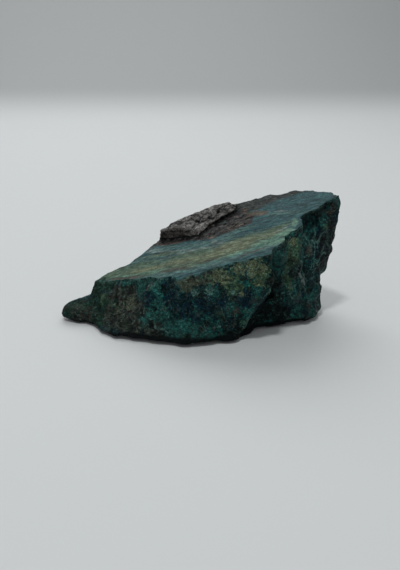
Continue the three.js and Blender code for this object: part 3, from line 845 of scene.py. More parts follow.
# thin lines on the broken faces and the ledge: paths of points x, y, z
brokenLines = {
    "pale": [
        [(-18.6, -21.8, 9.0), (-16.8, -22.9, 6.8), (-14.1, -23.8, 4.2), (-11.1, -24.6, 3.6),
         (-8.6, -25.6, 2.5)],
        [(23.3, -24.3, 19.2), (21.7, -24.3, 15.8), (18.7, -24.3, 12.4), (16.4, -23.6, 8.6),
         (14.9, -23.7, 5.5)],
        [(25.8, -17.2, 12.8), (28.1, -16.6, 13.2), (30.1, -15.5, 13.8), (31.5, -14.6, 14.2),
         (33.3, -13.4, 15.4)],
        [(29.3, -14.9, 25.0), (30.0, -14.4, 19.3), (30.3, -15.6, 14.2), (31.2, -15.7, 11.4)],
        [(36.1, -7.1, 32.2), (37.3, -6.3, 30.3), (39.7, -5.5, 26.9), (41.3, -4.5, 26.2),
         (42.3, -3.3, 29.2), (44.9, -2.1, 31.1)],
        [(36.7, -8.3, 14.8), (38.5, -7.7, 18.5), (40.0, -6.5, 19.8), (42.5, -4.1, 22.9),
         (44.7, -3.0, 23.5)],
        [(39.1, -11.0, 7.6), (40.6, -8.9, 4.8), (41.8, -7.6, 2.8)],
        [(34.5, -13.3, 22.3), (34.4, -13.5, 18.6), (36.3, -8.9, 14.3)],
    ],
    "worn": [
        [(-29.8, -9.2, 14.6), (-30.0, -10.7, 13.0), (-31.0, -13.2, 9.9), (-31.3, -14.5, 7.8),
         (-32.5, -16.1, 4.8), (-32.9, -17.8, 2.5), (-30.9, -19.5, 1.0)],
    ],
    "chip": [
        [(34.7, -13.4, 20.8), (34.9, -13.3, 18.8)],
        [(36.2, -8.9, 15.6), (36.4, -8.9, 13.8)],
        [(36.9, -8.6, 17.4), (37.1, -8.6, 16.8)],
    ],
    # dark lines along cracks and creases, partly painted shade in the creases
    "dark": [
        [(23.6, -24.0, 25.4), (23.9, -23.4, 22.0), (24.1, -22.9, 18.8)],
        [(23.7, -23.4, 26.2), (23.9, -21.5, 23.2), (24.8, -18.5, 19.4), (25.6, -17.7, 16.6)],
        [(26.2, -17.6, 21.0), (28.0, -16.6, 24.0)],
        [(-19.2, -21.0, 8.0), (-17.4, -22.4, 5.6), (-14.4, -23.4, 3.0), (-11.1, -24.2, 2.2)],
        [(-3.0, 17.3, 31.2), (-1.9, 14.5, 30.8), (-0.9, 12.8, 30.4), (2.5, 13.7, 30.6), (4.2, 14.8, 30.9),
         (7.5, 16.0, 31.6)],
    ],
}

lineDrawing = {
    # the lines wander: how far, how often, from where, and by which axes
    "wander": [(0.45, 1.7, 0.0, (1, 2, 0)), (0.22, 4.1, 1.0, (2, 0, 1))],
    "height": 2.5,             # a path may lie this far above or below the surface
    "far": 9.0,
}


def pathDistance(points, facing, path):
    # measured along the surface, past which the points count as far
    far = lineDrawing["far"]
    nearest = np.full(len(points), far)
    points = points + sum(much * np.sin(points[:, axes] * often + start)
                          for much, often, start, axes in lineDrawing["wander"])
    for start, end in zip(path, path[1:]):
        along = np.array(end) - start
        offset = points - start
        share = np.clip(offset @ along / (along @ along), 0, 1)[:, None]
        offset = offset - share * along
        height = np.einsum("ij,ij->i", offset, facing)
        away = np.linalg.norm(offset - height[:, None] * facing, axis=1)
        nearest = np.minimum(nearest, np.where(np.abs(height) < lineDrawing["height"], away, far))
    return nearest


patchFalloff = 0.7             # how fast a patch fades past its middle


def roundPatch(points, x, y, z, radius):
    away = np.linalg.norm(points - (x, y, z), axis=1) / radius
    return np.exp(-patchFalloff * away * away)


def flatPatch(points, x, y, long, wide, turn):
    angle = math.radians(turn)
    dx, dy = points[:, 0] - x, points[:, 1] - y
    u = (dx * math.cos(angle) + dy * math.sin(angle)) / long
    v = (dy * math.cos(angle) - dx * math.sin(angle)) / wide
    return np.exp(-patchFalloff * (u * u + v * v))


def curvature(mesh, reach):
    # how far each vertex stands out of its surroundings, millimetres
    points, ends = verticesOf(mesh) / mm, edgesOf(mesh)
    blurred = points.copy()
    for _ in range(reach):
        blurred = neighbourMean(blurred, ends)
    return np.einsum("ij,ij->i", points - blurred, normalsOf(mesh))


surfaceFields = {
    "calmRounds": 8,           # rounds that even out which way the surface faces
    "rough": (-2.5, 2.5),      # soft edge of the rough strip, and of the worn skin
    "skin": (-2.5, 3.0),
    "rim": 0.7,                # the sawn rim's chipped edge is about this wide
    "ledgeFoot": (0.4, 1.0),   # the painted shade along the ledge's foot ends between these heights
    "host": (0, 20),           # the back turns to host rock from here to here
    "hostShare": 0.85,
    "dark": (1.1, 1.2),        # height of the painted shade at the table, and how much more under the front
    "darkX": (-32, -24),
    "darkY": (-8, -14),
    "darkFade": 0.9,
    "wide": 10,                # rounds of blur that the painted hollow shade and paler edges are measured against, and of the fine ones
    "fine": 2,
    "nose": (35, 42),          # the nose shows less painted hollow shade and fewer pale edges
    "noseCalm": 0.8,
    "leftBlock": (-1, 7),      # the ledge's left block counts as steep at gentler slopes
    "steep": (0.45, 0.80),
    "steepMore": (0.2, 0.1),
}


def paintFields(mesh, normal, offset):
    # the numbers that the finishes read, one of each kind for a vertex
    edges = surfaceFields
    points, facing, ends = verticesOf(mesh) / mm, normalsOf(mesh), edgesOf(mesh)
    for _ in range(edges["calmRounds"]):
        facing = neighbourMean(facing, ends)
    facing /= np.maximum(np.linalg.norm(facing, axis=1), 1e-6)[:, None]
    for part, mask, kinds in (("broken", roundPatch, brokenPatches), ("sawn", flatPatch, sawnPatches)):
        for name, patches in kinds.items():
            strongest = np.max([mask(points, *patch) for patch in patches], axis=0)
            setField(mesh, part + name.capitalize(), strongest)
    for name, paths in brokenLines.items():
        away = np.min([pathDistance(points, facing, path) for path in paths], axis=0)
        setField(mesh, name + "LineAway", away)
    x, y, z = points.T
    above = points @ np.array(normal) - offset / mm
    setField(mesh, "sawnRough", smoothstep(*edges["rough"], outlineDistance(points[:, :2], roughStrip)))
    setField(mesh, "sawnSkin", smoothstep(*edges["skin"], outlineDistance(points[:, :2], backStrip)))
    setField(mesh, "atRim", np.exp(-(above / edges["rim"]) ** 2))
    # painted shade along the ledge's foot
    setField(mesh, "ledgeFoot", 1 - smoothstep(*edges["ledgeFoot"], above))
    setField(mesh, "hostBack", edges["hostShare"] * smoothstep(*edges["host"], y))
    # painted shade: a near-black band along the foot at the table, higher under the front
    height, more = edges["dark"]
    band = height + more * smoothstep(*edges["darkX"], x) * smoothstep(*edges["darkY"], y)
    setField(mesh, "nearTable", 1 - smoothstep(0.0, edges["darkFade"], z - band))
    # how far the surface stands out, read by the painted shade in hollows and the paler edges
    calm = 1 - edges["noseCalm"] * smoothstep(*edges["nose"], -x)
    setField(mesh, "standsOut", curvature(mesh, edges["wide"]) * calm)
    setField(mesh, "fineOut", curvature(mesh, edges["fine"]))
    leftBlock = 1 - smoothstep(*edges["leftBlock"], x)
    low, high = (edge + more * leftBlock for edge, more in zip(edges["steep"], edges["steepMore"]))
    setField(mesh, "steep", 1 - smoothstep(low, high, facing[:, 2]))


tones = {
    "deepTeal": (0.0036, 0.0220, 0.0250),
    "midTeal": (0.0095, 0.0800, 0.0720),
    "brightTeal": (0.0170, 0.0880, 0.0780),
    "navy": (0.0018, 0.0135, 0.0240),
    # near black, for dark stone and for painted shade
    "soot": (0.0018, 0.0032, 0.0036),
    "fleck": (0.0420, 0.1400, 0.1220),
    "edge": (0.0600, 0.0850, 0.0700),
    "moss": (0.0200, 0.0440, 0.0270),
    "leaf": (0.0110, 0.0290, 0.0180),
    "olive": (0.0520, 0.0980, 0.0530),
    "ochre": (0.1320, 0.1620, 0.0940),
    "tan": (0.0760, 0.0860, 0.0570),
    "umber": (0.0135, 0.0115, 0.0090),
    "plum": (0.0090, 0.0080, 0.0110),
    "drab": (0.0600, 0.0680, 0.0560),
    "mint": (0.0700, 0.1500, 0.1300),
    "slate": (0.0240, 0.0620, 0.0720),
    "sea": (0.0340, 0.0900, 0.0940),
    "deepSea": (0.0200, 0.0620, 0.0700),
    "sawnOlive": (0.0760, 0.1200, 0.0780),
    "sawnOchre": (0.1650, 0.1750, 0.1050),
    "sawnMint": (0.1150, 0.2150, 0.1550),
    "sky": (0.0660, 0.1330, 0.1250),
    "clay": (0.0620, 0.0560, 0.0480),
    "chalk": (0.1700, 0.2100, 0.2000),
    "mauve": (0.0400, 0.0320, 0.0310),
    "rust": (0.1050, 0.0730, 0.0490),
    "skin": (0.0340, 0.0380, 0.0340),
    # the host rock's steep faces, painted darker as shade
    "hostSteepShade": (0.0300, 0.0260, 0.0240),
    "hostGrey": (0.0740, 0.0720, 0.0700),
    "hostPale": (0.2150, 0.2100, 0.2000),
}


def tone(name):
    return (*tones[name], 1)


def mixed(tree, factor, under, over, blend="MIX"):
    node = put(tree, "ShaderNodeMix", {0: factor, 6: under, 7: over}, data_type="RGBA", blend_type=blend)
    return node.outputs[2]


def grey(tree, value):
    return put(tree, "ShaderNodeCombineColor", {0: value, 1: value, 2: value}).outputs[0]


def field(tree, name):
    return put(tree, "ShaderNodeAttribute", attribute_name=name).outputs["Fac"]


socketKinds = {"Place": "Vector", "Colour": "Color", "Dark": "Color", "Pale": "Color", "Tone": "Color"}


def groupOf(name, inputs, outputs):
    tree = bpy.data.node_groups.new(name, "ShaderNodeTree")
    for way, labels in (("INPUT", inputs), ("OUTPUT", outputs)):
        for label in labels:
            kind = "NodeSocket" + socketKinds.get(label, "Float")
            tree.interface.new_socket(label, in_out=way, socket_type=kind)
    return tree, tree.nodes.new("NodeGroupInput").outputs, tree.nodes.new("NodeGroupOutput").inputs


def placed(tree, group, output, row, **values):
    # a row of a dictionary gives the group's inputs by their names in small letters
    node = tree.nodes.new("ShaderNodeGroup")
    node.node_tree = group
    for socket in node.inputs:
        key = socket.name.lower()
        feed(tree, socket, values[key] if key in values else row[key])
    return node.outputs[output]


def makeCloudMask():
    # a cloudy pattern, and a mask that rises between two of its values
    tree, given, out = groupOf("cloudMask", ("Place", "Size", "Detail", "Rough", "Twist", "Seed",
                                             "Low", "High", "Share"), ("Mask", "Cloud"))
    cloud = noisy(tree, given["Place"], math2(tree, "DIVIDE", 1.0, given["Size"]), given["Detail"],
                  given["Rough"], given["Twist"], given["Seed"])["Fac"]
    feed(tree, out["Mask"], eased(tree, cloud, given["Low"], given["High"], 0.0, given["Share"]))
    feed(tree, out["Cloud"], cloud)
    return tree


def makePatchMask():
    # a field broken up into specks, dense in the middle of a patch and sparse at its edge
    tree, given, out = groupOf("patchMask", ("Place", "Field", "Size", "Ragged", "Soft", "Seed"), ("Mask",))
    grain = noisy(tree, given["Place"], math2(tree, "DIVIDE", 1.0, given["Size"]), 8.0, 0.72,
                  seed=given["Seed"])["Fac"]
    shift = math2(tree, "MULTIPLY", math2(tree, "SUBTRACT", grain, 0.5), given["Ragged"])
    low = math2(tree, "SUBTRACT", 0.5, given["Soft"])
    high = math2(tree, "ADD", 0.5, given["Soft"])
    feed(tree, out["Mask"], eased(tree, math2(tree, "ADD", given["Field"], shift), low, high))
    return tree


def makeRockGrain():
    # light and dark grains, as a factor on the colour, and their height
    tree, given, out = groupOf("rockGrain", ("Place", "Size", "Contrast", "Seed"), ("Tone", "Height"))
    scale = math2(tree, "DIVIDE", 1.0, given["Size"])
    grain = noisy(tree, given["Place"], scale, 7.0, 0.75, seed=given["Seed"])["Fac"]
    crystals = voronoi(tree, given["Place"], math2(tree, "MULTIPLY", scale, 2.2), given["Seed"])["Color"]
    crystal = put(tree, "ShaderNodeSeparateColor", {0: crystals}).outputs[0]
    total = math2(tree, "ADD", math2(tree, "SUBTRACT", grain, 0.5),
                  math2(tree, "MULTIPLY", math2(tree, "SUBTRACT", crystal, 0.5), 0.16))
    factor = math2(tree, "POWER", 2.0, math2(tree, "MULTIPLY", total, given["Contrast"]))
    feed(tree, out["Tone"], grey(tree, factor))
    feed(tree, out["Height"], grain)
    return tree


def makeCrackNet():
    # thin wandering lines between the cells of a pattern, broken off here and there
    tree, given, out = groupOf("crackNet", ("Place", "Size", "Width", "Wander", "Share", "Seed"), ("Line",))
    place, size, seed = given["Place"], given["Size"], given["Seed"]
    drift = noisy(tree, place, math2(tree, "DIVIDE", 0.6, size), 5.0, 0.6, seed=seed)["Color"]
    cells = voronoi(tree, drifted(tree, place, drift, given["Wander"]), math2(tree, "DIVIDE", 1.0, size),
                    seed, "DISTANCE_TO_EDGE")["Distance"]
    edge = math2(tree, "MULTIPLY", cells, size)
    line = math2(tree, "SUBTRACT", 1.0, math2(tree, "DIVIDE", edge, given["Width"]), clamp=True)
    broken = noisy(tree, place, math2(tree, "DIVIDE", 1.1, size), 5.0, 0.65,
                   seed=math2(tree, "ADD", seed, 4.0))["Fac"]
    # a share of one keeps every line, a share of nought keeps none
    limit = math2(tree, "SUBTRACT", 0.72, math2(tree, "MULTIPLY", given["Share"], 0.44))
    shown = eased(tree, broken, math2(tree, "SUBTRACT", limit, 0.05), math2(tree, "ADD", limit, 0.05))
    feed(tree, out["Line"], math2(tree, "MULTIPLY", line, shown))
    return tree


def makeFibres():
    # bundles of fine parallel fibres, each bundle turned its own way
    tree, given, out = groupOf("fibres", ("Place", "Bundle", "Long", "Thin", "Seed"), ("Fibre",))
    place, bundle, seed = given["Place"], given["Bundle"], given["Seed"]
    drift = noisy(tree, place, math2(tree, "DIVIDE", 1.5, bundle), 4.0, 0.6, seed=seed)["Color"]
    cells = voronoi(tree, drifted(tree, place, drift, bundle), math2(tree, "DIVIDE", 1.0, bundle), seed)
    draw = put(tree, "ShaderNodeSeparateColor", {0: cells["Color"]}).outputs[0]
    turned = put(tree, "ShaderNodeVectorRotate", {"Vector": place, "Axis": (0, 1, 0),
                 "Angle": math2(tree, "MULTIPLY", draw, math.pi)}, rotation_type="AXIS_ANGLE").outputs[0]
    wide = math2(tree, "DIVIDE", 1.0, given["Thin"])
    size = put(tree, "ShaderNodeCombineXYZ", {0: wide, 1: math2(tree, "MULTIPLY", wide, 0.5),
               2: math2(tree, "DIVIDE", 1.0, given["Long"])}).outputs[0]
    fibre = noisy(tree, vector2(tree, "MULTIPLY", turned, size), 1.0, 3.0, 0.6, seed=seed)["Fac"]
    feed(tree, out["Fibre"], fibre)
    return tree


def makeRaggedLine():
    # full near a line, and ending further out in a ragged edge
    tree, given, out = groupOf("raggedLine", ("Place", "Away", "Size", "Wobble", "Near", "Far", "Share",
                                              "Seed"), ("Mask",))
    grain = noisy(tree, given["Place"], math2(tree, "DIVIDE", 1.0, given["Size"]), 5.0, 0.65,
                  seed=given["Seed"])["Fac"]
    shift = math2(tree, "MULTIPLY", math2(tree, "SUBTRACT", grain, 0.46), given["Wobble"])
    away = math2(tree, "ADD", given["Away"], shift)
    feed(tree, out["Mask"], eased(tree, away, given["Near"], given["Far"], given["Share"], 0.0))
    return tree


# how far the surface stands out, from and to, the tone it takes and how strongly; the dark steps are painted
# shade in hollows
hollowShadeEdgeSteps = [
    ("Out", -0.02, -0.30, "Dark", 0.85),
    ("Out", 0.05, 0.35, "Pale", 0.55),
    ("Fine", -0.02, -0.10, "Dark", 0.50),
    ("Fine", 0.02, 0.10, "Pale", 0.50),
]


def makeHollowShadeEdgePale():
    # hollows painted darker as shade, standing edges paler
    tree, given, out = groupOf("hollowShadeEdgePale", ("Colour", "Dark", "Pale", "Out", "Fine", "Strength"),
                               ("Colour",))
    colour = given["Colour"]
    for reach, low, high, tint, share in hollowShadeEdgeSteps:
        amount = math2(tree, "MULTIPLY", given["Strength"], share)
        colour = mixed(tree, eased(tree, given[reach], low, high, 0.0, amount), colour, given[tint])
    feed(tree, out["Colour"], colour)
    return tree


cloudMask, patchMask, rockGrain = makeCloudMask(), makePatchMask(), makeRockGrain()
crackNet, fibres, raggedLine, hollowShadeEdgePale = makeCrackNet(), makeFibres(), makeRaggedLine(), makeHollowShadeEdgePale()


def startMaterial(name, finish):
    material = bpy.data.materials.new(name)
    material.use_nodes = True
    tree = material.node_tree
    place = scaled(tree, tree.nodes.new("ShaderNodeTexCoord").outputs["Object"], 1 / mm)
    surface = tree.nodes["Principled BSDF"]
    surface.inputs["Specular IOR Level"].default_value = finish["shine"]
    return material, tree, place, surface


def stretched(tree, place, lengths, turns):
    # the pattern's own axes, and how many degrees they are turned
    return put(tree, "ShaderNodeMapping", {"Vector": place, "Scale": lengths,
               "Rotation": [math.radians(turn) for turn in turns]}, vector_type="TEXTURE").outputs[0]


def clouds(tree, place, cloud, output="Mask"):
    return placed(tree, cloudMask, output, {"detail": 7.0, "twist": 0.0, "share": 1.0, **cloud}, place=place)


def clouded(tree, place, colour, cloud, limit=1.0):
    mask = math2(tree, "MULTIPLY", clouds(tree, place, cloud), limit)
    return mixed(tree, mask, colour, tone(cloud["tone"]))


def patched(tree, place, colour, patches):
    # lay each kind of patch over the colour, one after another
    for name, patch in patches.items():
        value = math2(tree, "ADD", field(tree, name), patch.get("more", 0.0))
        mask = placed(tree, patchMask, "Mask", {"soft": 0.12, **patch}, place=place, field=value)
        mask = math2(tree, "MULTIPLY", mask, patch.get("share", 1.0))
        colour = mixed(tree, mask, colour, tone(patch["tone"]))
    return colour


def cracked(tree, place, colour, crack, limit=1.0):
    lines = placed(tree, crackNet, "Line", crack, place=place)
    lines = math2(tree, "MULTIPLY", math2(tree, "MULTIPLY", lines, limit), crack["strength"])
    return mixed(tree, lines, colour, tone(crack["tone"]))


def lined(tree, place, colour, lines):
    for name, line in lines.items():
        mask = placed(tree, raggedLine, "Mask", line, place=place, away=field(tree, name), seed=33.0)
        colour = mixed(tree, mask, colour, tone(line["tone"]))
    return colour


def grained(tree, place, colour, grain):
    # the grains on the colour, and their height for the bump
    factor = placed(tree, rockGrain, "Tone", grain, place=place, seed=3.0)
    height = placed(tree, rockGrain, "Height", grain, place=place, seed=3.0)
    return mixed(tree, 1.0, colour, factor, "MULTIPLY"), height


# painted shade in the hollows, and paler standing edges
def worn(tree, colour, wear):
    strength, pale = wear
    return placed(tree, hollowShadeEdgePale, "Colour", {}, colour=colour, dark=tone("soot"), pale=tone(pale),
                  out=field(tree, "standsOut"), fine=field(tree, "fineOut"), strength=strength)


def finished(tree, surface, colour, height, finish):
    feed(tree, surface.inputs["Base Color"], colour)
    bump = put(tree, "ShaderNodeBump", {"Height": height, "Strength": finish["bump"],
                                        "Distance": finish["bumpDepth"] * mm})
    feed(tree, surface.inputs["Normal"], bump.outputs[0])


brokenFinish = {
    "cloud": dict(size=5.5, detail=8.0, rough=0.68, twist=0.3, seed=2.0, low=0.46, high=0.56),
    "clouds": [
        dict(tone="navy", size=4.6, rough=0.64, twist=0.5, seed=9.0, low=0.49, high=0.56, share=0.9),
        dict(tone="soot", size=3.2, rough=0.66, twist=0.4, seed=43.0, low=0.51, high=0.57, share=0.9),
        dict(tone="moss", size=3.5, rough=0.66, seed=41.0, low=0.53, high=0.61, share=0.5),
    ],
    "patches": {
        "brokenTeal": dict(tone="brightTeal", size=2.2, ragged=3.0, seed=3.0, share=0.8),
        "brokenNavy": dict(tone="navy", size=2.0, ragged=2.6, seed=4.0, more=0.05, share=0.9),
        "brokenLeaf": dict(tone="leaf", size=2.0, ragged=2.0, seed=5.0, share=0.9),
        "brokenOlive": dict(tone="olive", size=1.6, ragged=3.6, seed=6.0, share=0.85),
        "brokenBrown": dict(tone="umber", size=1.8, ragged=2.6, seed=7.0, share=0.85, more=0.1),
        "brokenTan": dict(tone="tan", size=1.4, ragged=2.4, seed=8.0, share=0.8),
        "brokenPlum": dict(tone="plum", size=2.0, ragged=2.2, seed=18.0, share=0.95, more=0.05),
        "brokenOchre": dict(tone="ochre", size=1.0, ragged=3.6, seed=10.0, share=0.85),
    },
    # pale earth inside the brown patches
    "earth": dict(tone="drab", size=1.8, rough=0.68, seed=12.0, low=0.50, high=0.55),
    "earthShare": 0.9,
    # the host rock of the back, and the veins in it
    "rock": dict(tone="drab", size=4.0, rough=0.65, seed=21.0, low=0.42, high=0.58),
    "back": dict(size=9.0, ragged=6.0, soft=0.10, seed=14.0),
    "backVein": dict(tone="brightTeal", size=13.0, width=1.1, wander=20.0, share=0.42, seed=23.0,
                     strength=1.0),
    "overPatches": {
        # near-black patches, mostly painted shade under the rim and in hollows
        "brokenSoot": dict(tone="soot", size=2.4, ragged=1.8, seed=15.0, share=0.96, soft=0.2, more=0.1),
        "brokenPale": dict(tone="mint", size=0.9, ragged=4.0, seed=16.0, share=0.8, more=-0.16),
    },
    "flecks": dict(tone="fleck", size=0.9, detail=5.0, rough=0.68, seed=31.0, low=0.58, high=0.69,
                   share=0.55),
    "rimChips": dict(tone="mint", size=0.9, detail=5.0, rough=0.68, seed=31.0, low=0.42, high=0.56,
                     share=0.75),
    "vein": dict(tone="mint", size=4.0, width=0.24, wander=6.0, share=0.62, seed=5.0, strength=0.95),
    "veinStretch": (1, 1, 0.42),       # the veins run upwards
    "hairlines": [
        dict(tone="mint", size=7.5, width=0.17, wander=9.0, share=0.35, seed=17.0, strength=0.5),
        dict(tone="mint", size=2.6, width=0.12, wander=5.0, share=0.45, seed=27.0, strength=0.35),
    ],
    "fibres": dict(bundle=3.0, long=2.4, thin=0.38, seed=51.0),
    "paleFibres": (0.55, 0.68, 0.0, 0.42),
    "darkFibres": (0.47, 0.36, 0.0, 0.6),
    "grain": dict(size=0.9, contrast=8.5),
    # strength of the painted shade in hollows and of the paler edges, and the pale tone
    "wear": (0.45, "edge"),
    "shade": 0.32,
    "lines": {
        "wornLineAway": dict(tone="drab", size=1.2, wobble=2.4, near=-0.1, far=1.3, share=0.5),
        # dark lines, partly cracks and partly painted shade in creases
        "darkLineAway": dict(tone="soot", size=1.2, wobble=2.4, near=0.2, far=1.0, share=0.9),
        "paleLineAway": dict(tone="mint", size=1.2, wobble=2.4, near=0.12, far=0.5, share=0.85),
        "chipLineAway": dict(tone="chalk", size=1.2, wobble=1.92, near=0.25, far=0.7, share=0.8),
    },
    "tableShade": 0.97,
    "roughness": (0.42, 0.72),
    "shine": 0.06,
    "bump": 0.7,
    "bumpDepth": 0.45,
}

roughnessEdges = (0.35, 0.65)  # the pattern's values between which the roughness changes


def makeBroken():
    finish = brokenFinish
    material, tree, place, surface = startMaterial("brokenTurquoise", finish)
    colour = mixed(tree, clouds(tree, place, finish["cloud"]), tone("deepTeal"), tone("midTeal"))
    for cloud in finish["clouds"]:
        colour = clouded(tree, place, colour, cloud)
    colour = patched(tree, place, colour, finish["patches"])
    brown = math2(tree, "MULTIPLY", field(tree, "brokenBrown"), finish["earthShare"], clamp=True)
    colour = clouded(tree, place, colour, finish["earth"], brown)
    onBack = placed(tree, patchMask, "Mask", finish["back"], place=place, field=field(tree, "hostBack"))
    colour = mixed(tree, onBack, colour, clouded(tree, place, tone("umber"), finish["rock"]))
    colour = cracked(tree, place, colour, finish["backVein"], onBack)
    colour = patched(tree, place, colour, finish["overPatches"])
    colour = clouded(tree, place, colour, finish["flecks"])
    colour = clouded(tree, place, colour, finish["rimChips"], field(tree, "atRim"))
    tall = vector2(tree, "MULTIPLY", place, finish["veinStretch"])
    colour = cracked(tree, tall, colour, finish["vein"], field(tree, "brokenVeined"))
    for hairline in finish["hairlines"]:
        colour = cracked(tree, place, colour, hairline)
    fibre = placed(tree, fibres, "Fibre", finish["fibres"], place=place)
    colour = mixed(tree, eased(tree, fibre, *finish["paleFibres"]), colour, tone("fleck"))
    colour = mixed(tree, eased(tree, fibre, *finish["darkFibres"]), colour, tone("soot"))
    colour, height = grained(tree, place, colour, finish["grain"])
    colour = worn(tree, colour, finish["wear"])
    shade = math2(tree, "MULTIPLY", field(tree, "brokenShade"), finish["shade"])
    colour = mixed(tree, shade, colour, tone("soot"))
    colour = lined(tree, place, colour, finish["lines"])
    # painted shade along the foot where the stone meets the table
    shade = math2(tree, "MULTIPLY", field(tree, "nearTable"), finish["tableShade"])
    colour = mixed(tree, shade, colour, tone("soot"))
    cloud = clouds(tree, place, finish["cloud"], "Cloud")
    feed(tree, surface.inputs["Roughness"], eased(tree, cloud, *roughnessEdges, *finish["roughness"]))
    finished(tree, surface, colour, height, finish)
    return material


sawnFinish = {
    "bands": ((5.5, 1.3, 5.0), (0, 0, -13)),           # lengths and turns of the bands' pattern
    "scratches": ((4.5, 0.55, 5.0), (0, 0, -26)),
    "streak": dict(size=1.0, detail=8.0, rough=0.68, twist=0.6, seed=3.0, low=0.38, high=0.62),
    "patches": {
        "sawnDeep": dict(tone="deepSea", size=1.2, ragged=1.8, seed=1.0, soft=0.3, share=0.85),
        "sawnOlive": dict(tone="sawnOlive", size=1.1, ragged=2.0, seed=2.0, soft=0.28, share=0.9),
        "sawnOchre": dict(tone="sawnOchre", size=0.9, ragged=2.4, seed=4.0, soft=0.34, share=0.6),
        "sawnMint": dict(tone="sawnMint", size=0.9, ragged=2.2, seed=5.0, soft=0.25, share=0.85),
        "sawnSky": dict(tone="sky", size=0.9, ragged=2.4, seed=6.0, soft=0.25, share=0.8, more=0.06),
        "sawnClay": dict(tone="clay", size=0.8, ragged=2.2, seed=7.0, soft=0.25, share=0.8),
        "sawnChalk": dict(tone="chalk", size=0.7, ragged=2.6, seed=8.0, soft=0.25, share=0.6, more=0.08),
        "sawnSkin": dict(tone="skin", size=1.2, ragged=2.4, seed=9.0, soft=0.2, share=0.9),
        "sawnRough": dict(tone="mauve", size=1.4, ragged=1.2, seed=11.0, soft=0.16),
        "sawnRust": dict(tone="rust", size=0.8, ragged=2.4, seed=12.0, soft=0.22, share=0.75),
    },
    "paleScratch": dict(tone="sky", size=1.0, detail=5.0, rough=0.7, twist=0.2, seed=14.0, low=0.56,
                        high=0.70, share=0.5),
    "darkScratch": dict(tone="deepSea", size=1.0, detail=5.0, rough=0.7, twist=0.2, seed=14.0, low=0.46,
                        high=0.34, share=0.55),
    # pits and pale crumbs where the face is rough, and on the skin by this share
    "pits": dict(tone="soot", size=1.5, rough=0.7, seed=19.0, low=0.55, high=0.43, share=0.92),
    "crumbs": dict(tone="hostPale", size=1.5, rough=0.7, seed=19.0, low=0.57, high=0.68, share=0.8),
    "skinRough": 0.7,
    "grain": dict(size=1.5, contrast=3.8),
    "dapple": dict(size=1 / 1.5, detail=6.0, rough=0.72, twist=0.4, seed=8.0, low=0.0, high=1.0),
    "dappleRange": (0.36, 0.64, 0.5, 1.55),            # light and dark, as a factor on the colour
    # strength of the painted shade in hollows and of the paler edges, and the pale tone
    "wear": (0.5, "sky"),
    "roughness": (0.55, 0.75),
    "shine": 0.06,
    "bump": 0.4,
    "bumpDepth": 0.25,
}


def makeSawn():
    finish = sawnFinish
    material, tree, place, surface = startMaterial("sawnTurquoise", finish)
    bands = stretched(tree, place, *finish["bands"])
    colour = mixed(tree, clouds(tree, bands, finish["streak"]), tone("slate"), tone("sea"))
    colour = patched(tree, bands, colour, finish["patches"])
    along = stretched(tree, place, *finish["scratches"])
    colour = clouded(tree, along, colour, finish["paleScratch"])
    colour = clouded(tree, along, colour, finish["darkScratch"])
    skin = math2(tree, "MULTIPLY", field(tree, "sawnSkin"), finish["skinRough"])
    rough = math2(tree, "ADD", field(tree, "sawnRough"), skin, clamp=True)
    colour = clouded(tree, place, colour, finish["pits"], rough)
    colour = clouded(tree, place, colour, finish["crumbs"], rough)
    colour, height = grained(tree, place, colour, finish["grain"])
    dapple = clouds(tree, bands, finish["dapple"], "Cloud")
    colour = mixed(tree, 1.0, colour, grey(tree, eased(tree, dapple, *finish["dappleRange"])), "MULTIPLY")
    colour = worn(tree, colour, finish["wear"])
    streak = clouds(tree, bands, finish["streak"], "Cloud")
    feed(tree, surface.inputs["Roughness"], eased(tree, streak, *roughnessEdges, *finish["roughness"]))
    finished(tree, surface, colour, math2(tree, "ADD", dapple, height), finish)
    return material


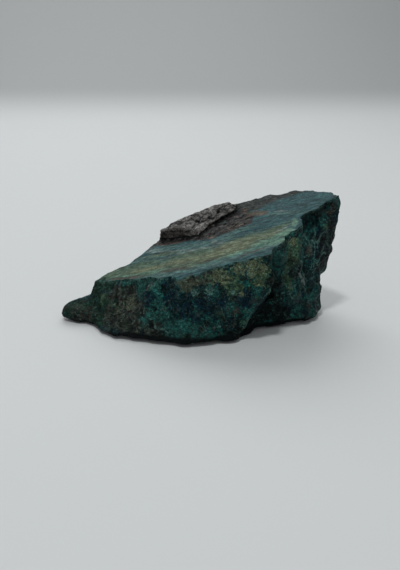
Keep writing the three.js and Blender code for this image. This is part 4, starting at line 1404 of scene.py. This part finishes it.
hostFinish = {
    "cloud": dict(size=3.0, rough=0.68, seed=4.0, low=0.42, high=0.60),
    "front": 0.88,             # how dark its steep front is painted, as shade
    "grain": dict(size=0.9, contrast=8.5),
    # strength of the painted shade in hollows and of the paler edges, and the pale tone
    "wear": (0.8, "hostPale"),
    "slabs": ((2.2, 2.2, 1.0), (0, -14, 0)),   # lengths and turns of the cracks' pattern
    "crack": dict(tone="soot", size=2.6, width=0.24, wander=3.0, share=0.5, seed=61.0, strength=0.85),
    "lines": {
        # dark cracks between the slabs, partly painted shade, and painted shade along the ledge's foot
        "darkLineAway": dict(tone="soot", size=1.4, wobble=3.0, near=0.2, far=0.9, share=0.9),
        "ledgeFoot": dict(tone="soot", size=1.4, wobble=1.5, near=0.65, far=0.35, share=0.95),
    },
    "roughness": 0.85,
    "shine": 0.05,
    "bump": 0.8,
    "bumpDepth": 0.5,
}


def makeHost():
    finish = hostFinish
    material, tree, place, surface = startMaterial("hostRock", finish)
    colour = mixed(tree, clouds(tree, place, finish["cloud"]), tone("hostGrey"), tone("hostPale"))
    # steep faces painted darker as shade
    front = math2(tree, "MULTIPLY", field(tree, "steep"), finish["front"])
    colour = mixed(tree, front, colour, tone("hostSteepShade"))
    colour, height = grained(tree, place, colour, finish["grain"])
    colour = worn(tree, colour, finish["wear"])
    colour = cracked(tree, stretched(tree, place, *finish["slabs"]), colour, finish["crack"])
    colour = lined(tree, place, colour, finish["lines"])
    surface.inputs["Roughness"].default_value = finish["roughness"]
    finished(tree, surface, colour, height, finish)
    return material


sawnNormal, sawnOffset = sawnPlane()
print("sawn plane", sawnNormal, sawnOffset / mm)
finishes = makeBroken(), makeSawn(), makeHost()
relief = reliefTree()
print("finishes ready")
makers = (makeBody, makeSawCut, makeLedge)
body, block, ledge = (make(sawnNormal, sawnOffset, relief, own) for make, own in zip(makers, finishes))
for slot, thing in enumerate((body, block, ledge)):
    print(thing.name, len(thing.data.polygons))
    giveSlots(thing, finishes, slot)
combine(body, block, "INTERSECT")
print("sawn", len(body.data.polygons))
combine(body, ledge, "UNION")
print("joined", len(body.data.polygons))
body.name = "roughTurquoise"
sortFaces(body.data, sawnNormal, sawnOffset)
easeCorner(body.data, sawnNormal, sawnOffset)
paintFields(body.data, sawnNormal, sawnOffset)
body.data.shade_smooth()
body.data.calc_loop_triangles()
print("triangles", len(body.data.loop_triangles))

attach(body, "root")
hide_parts("stone")
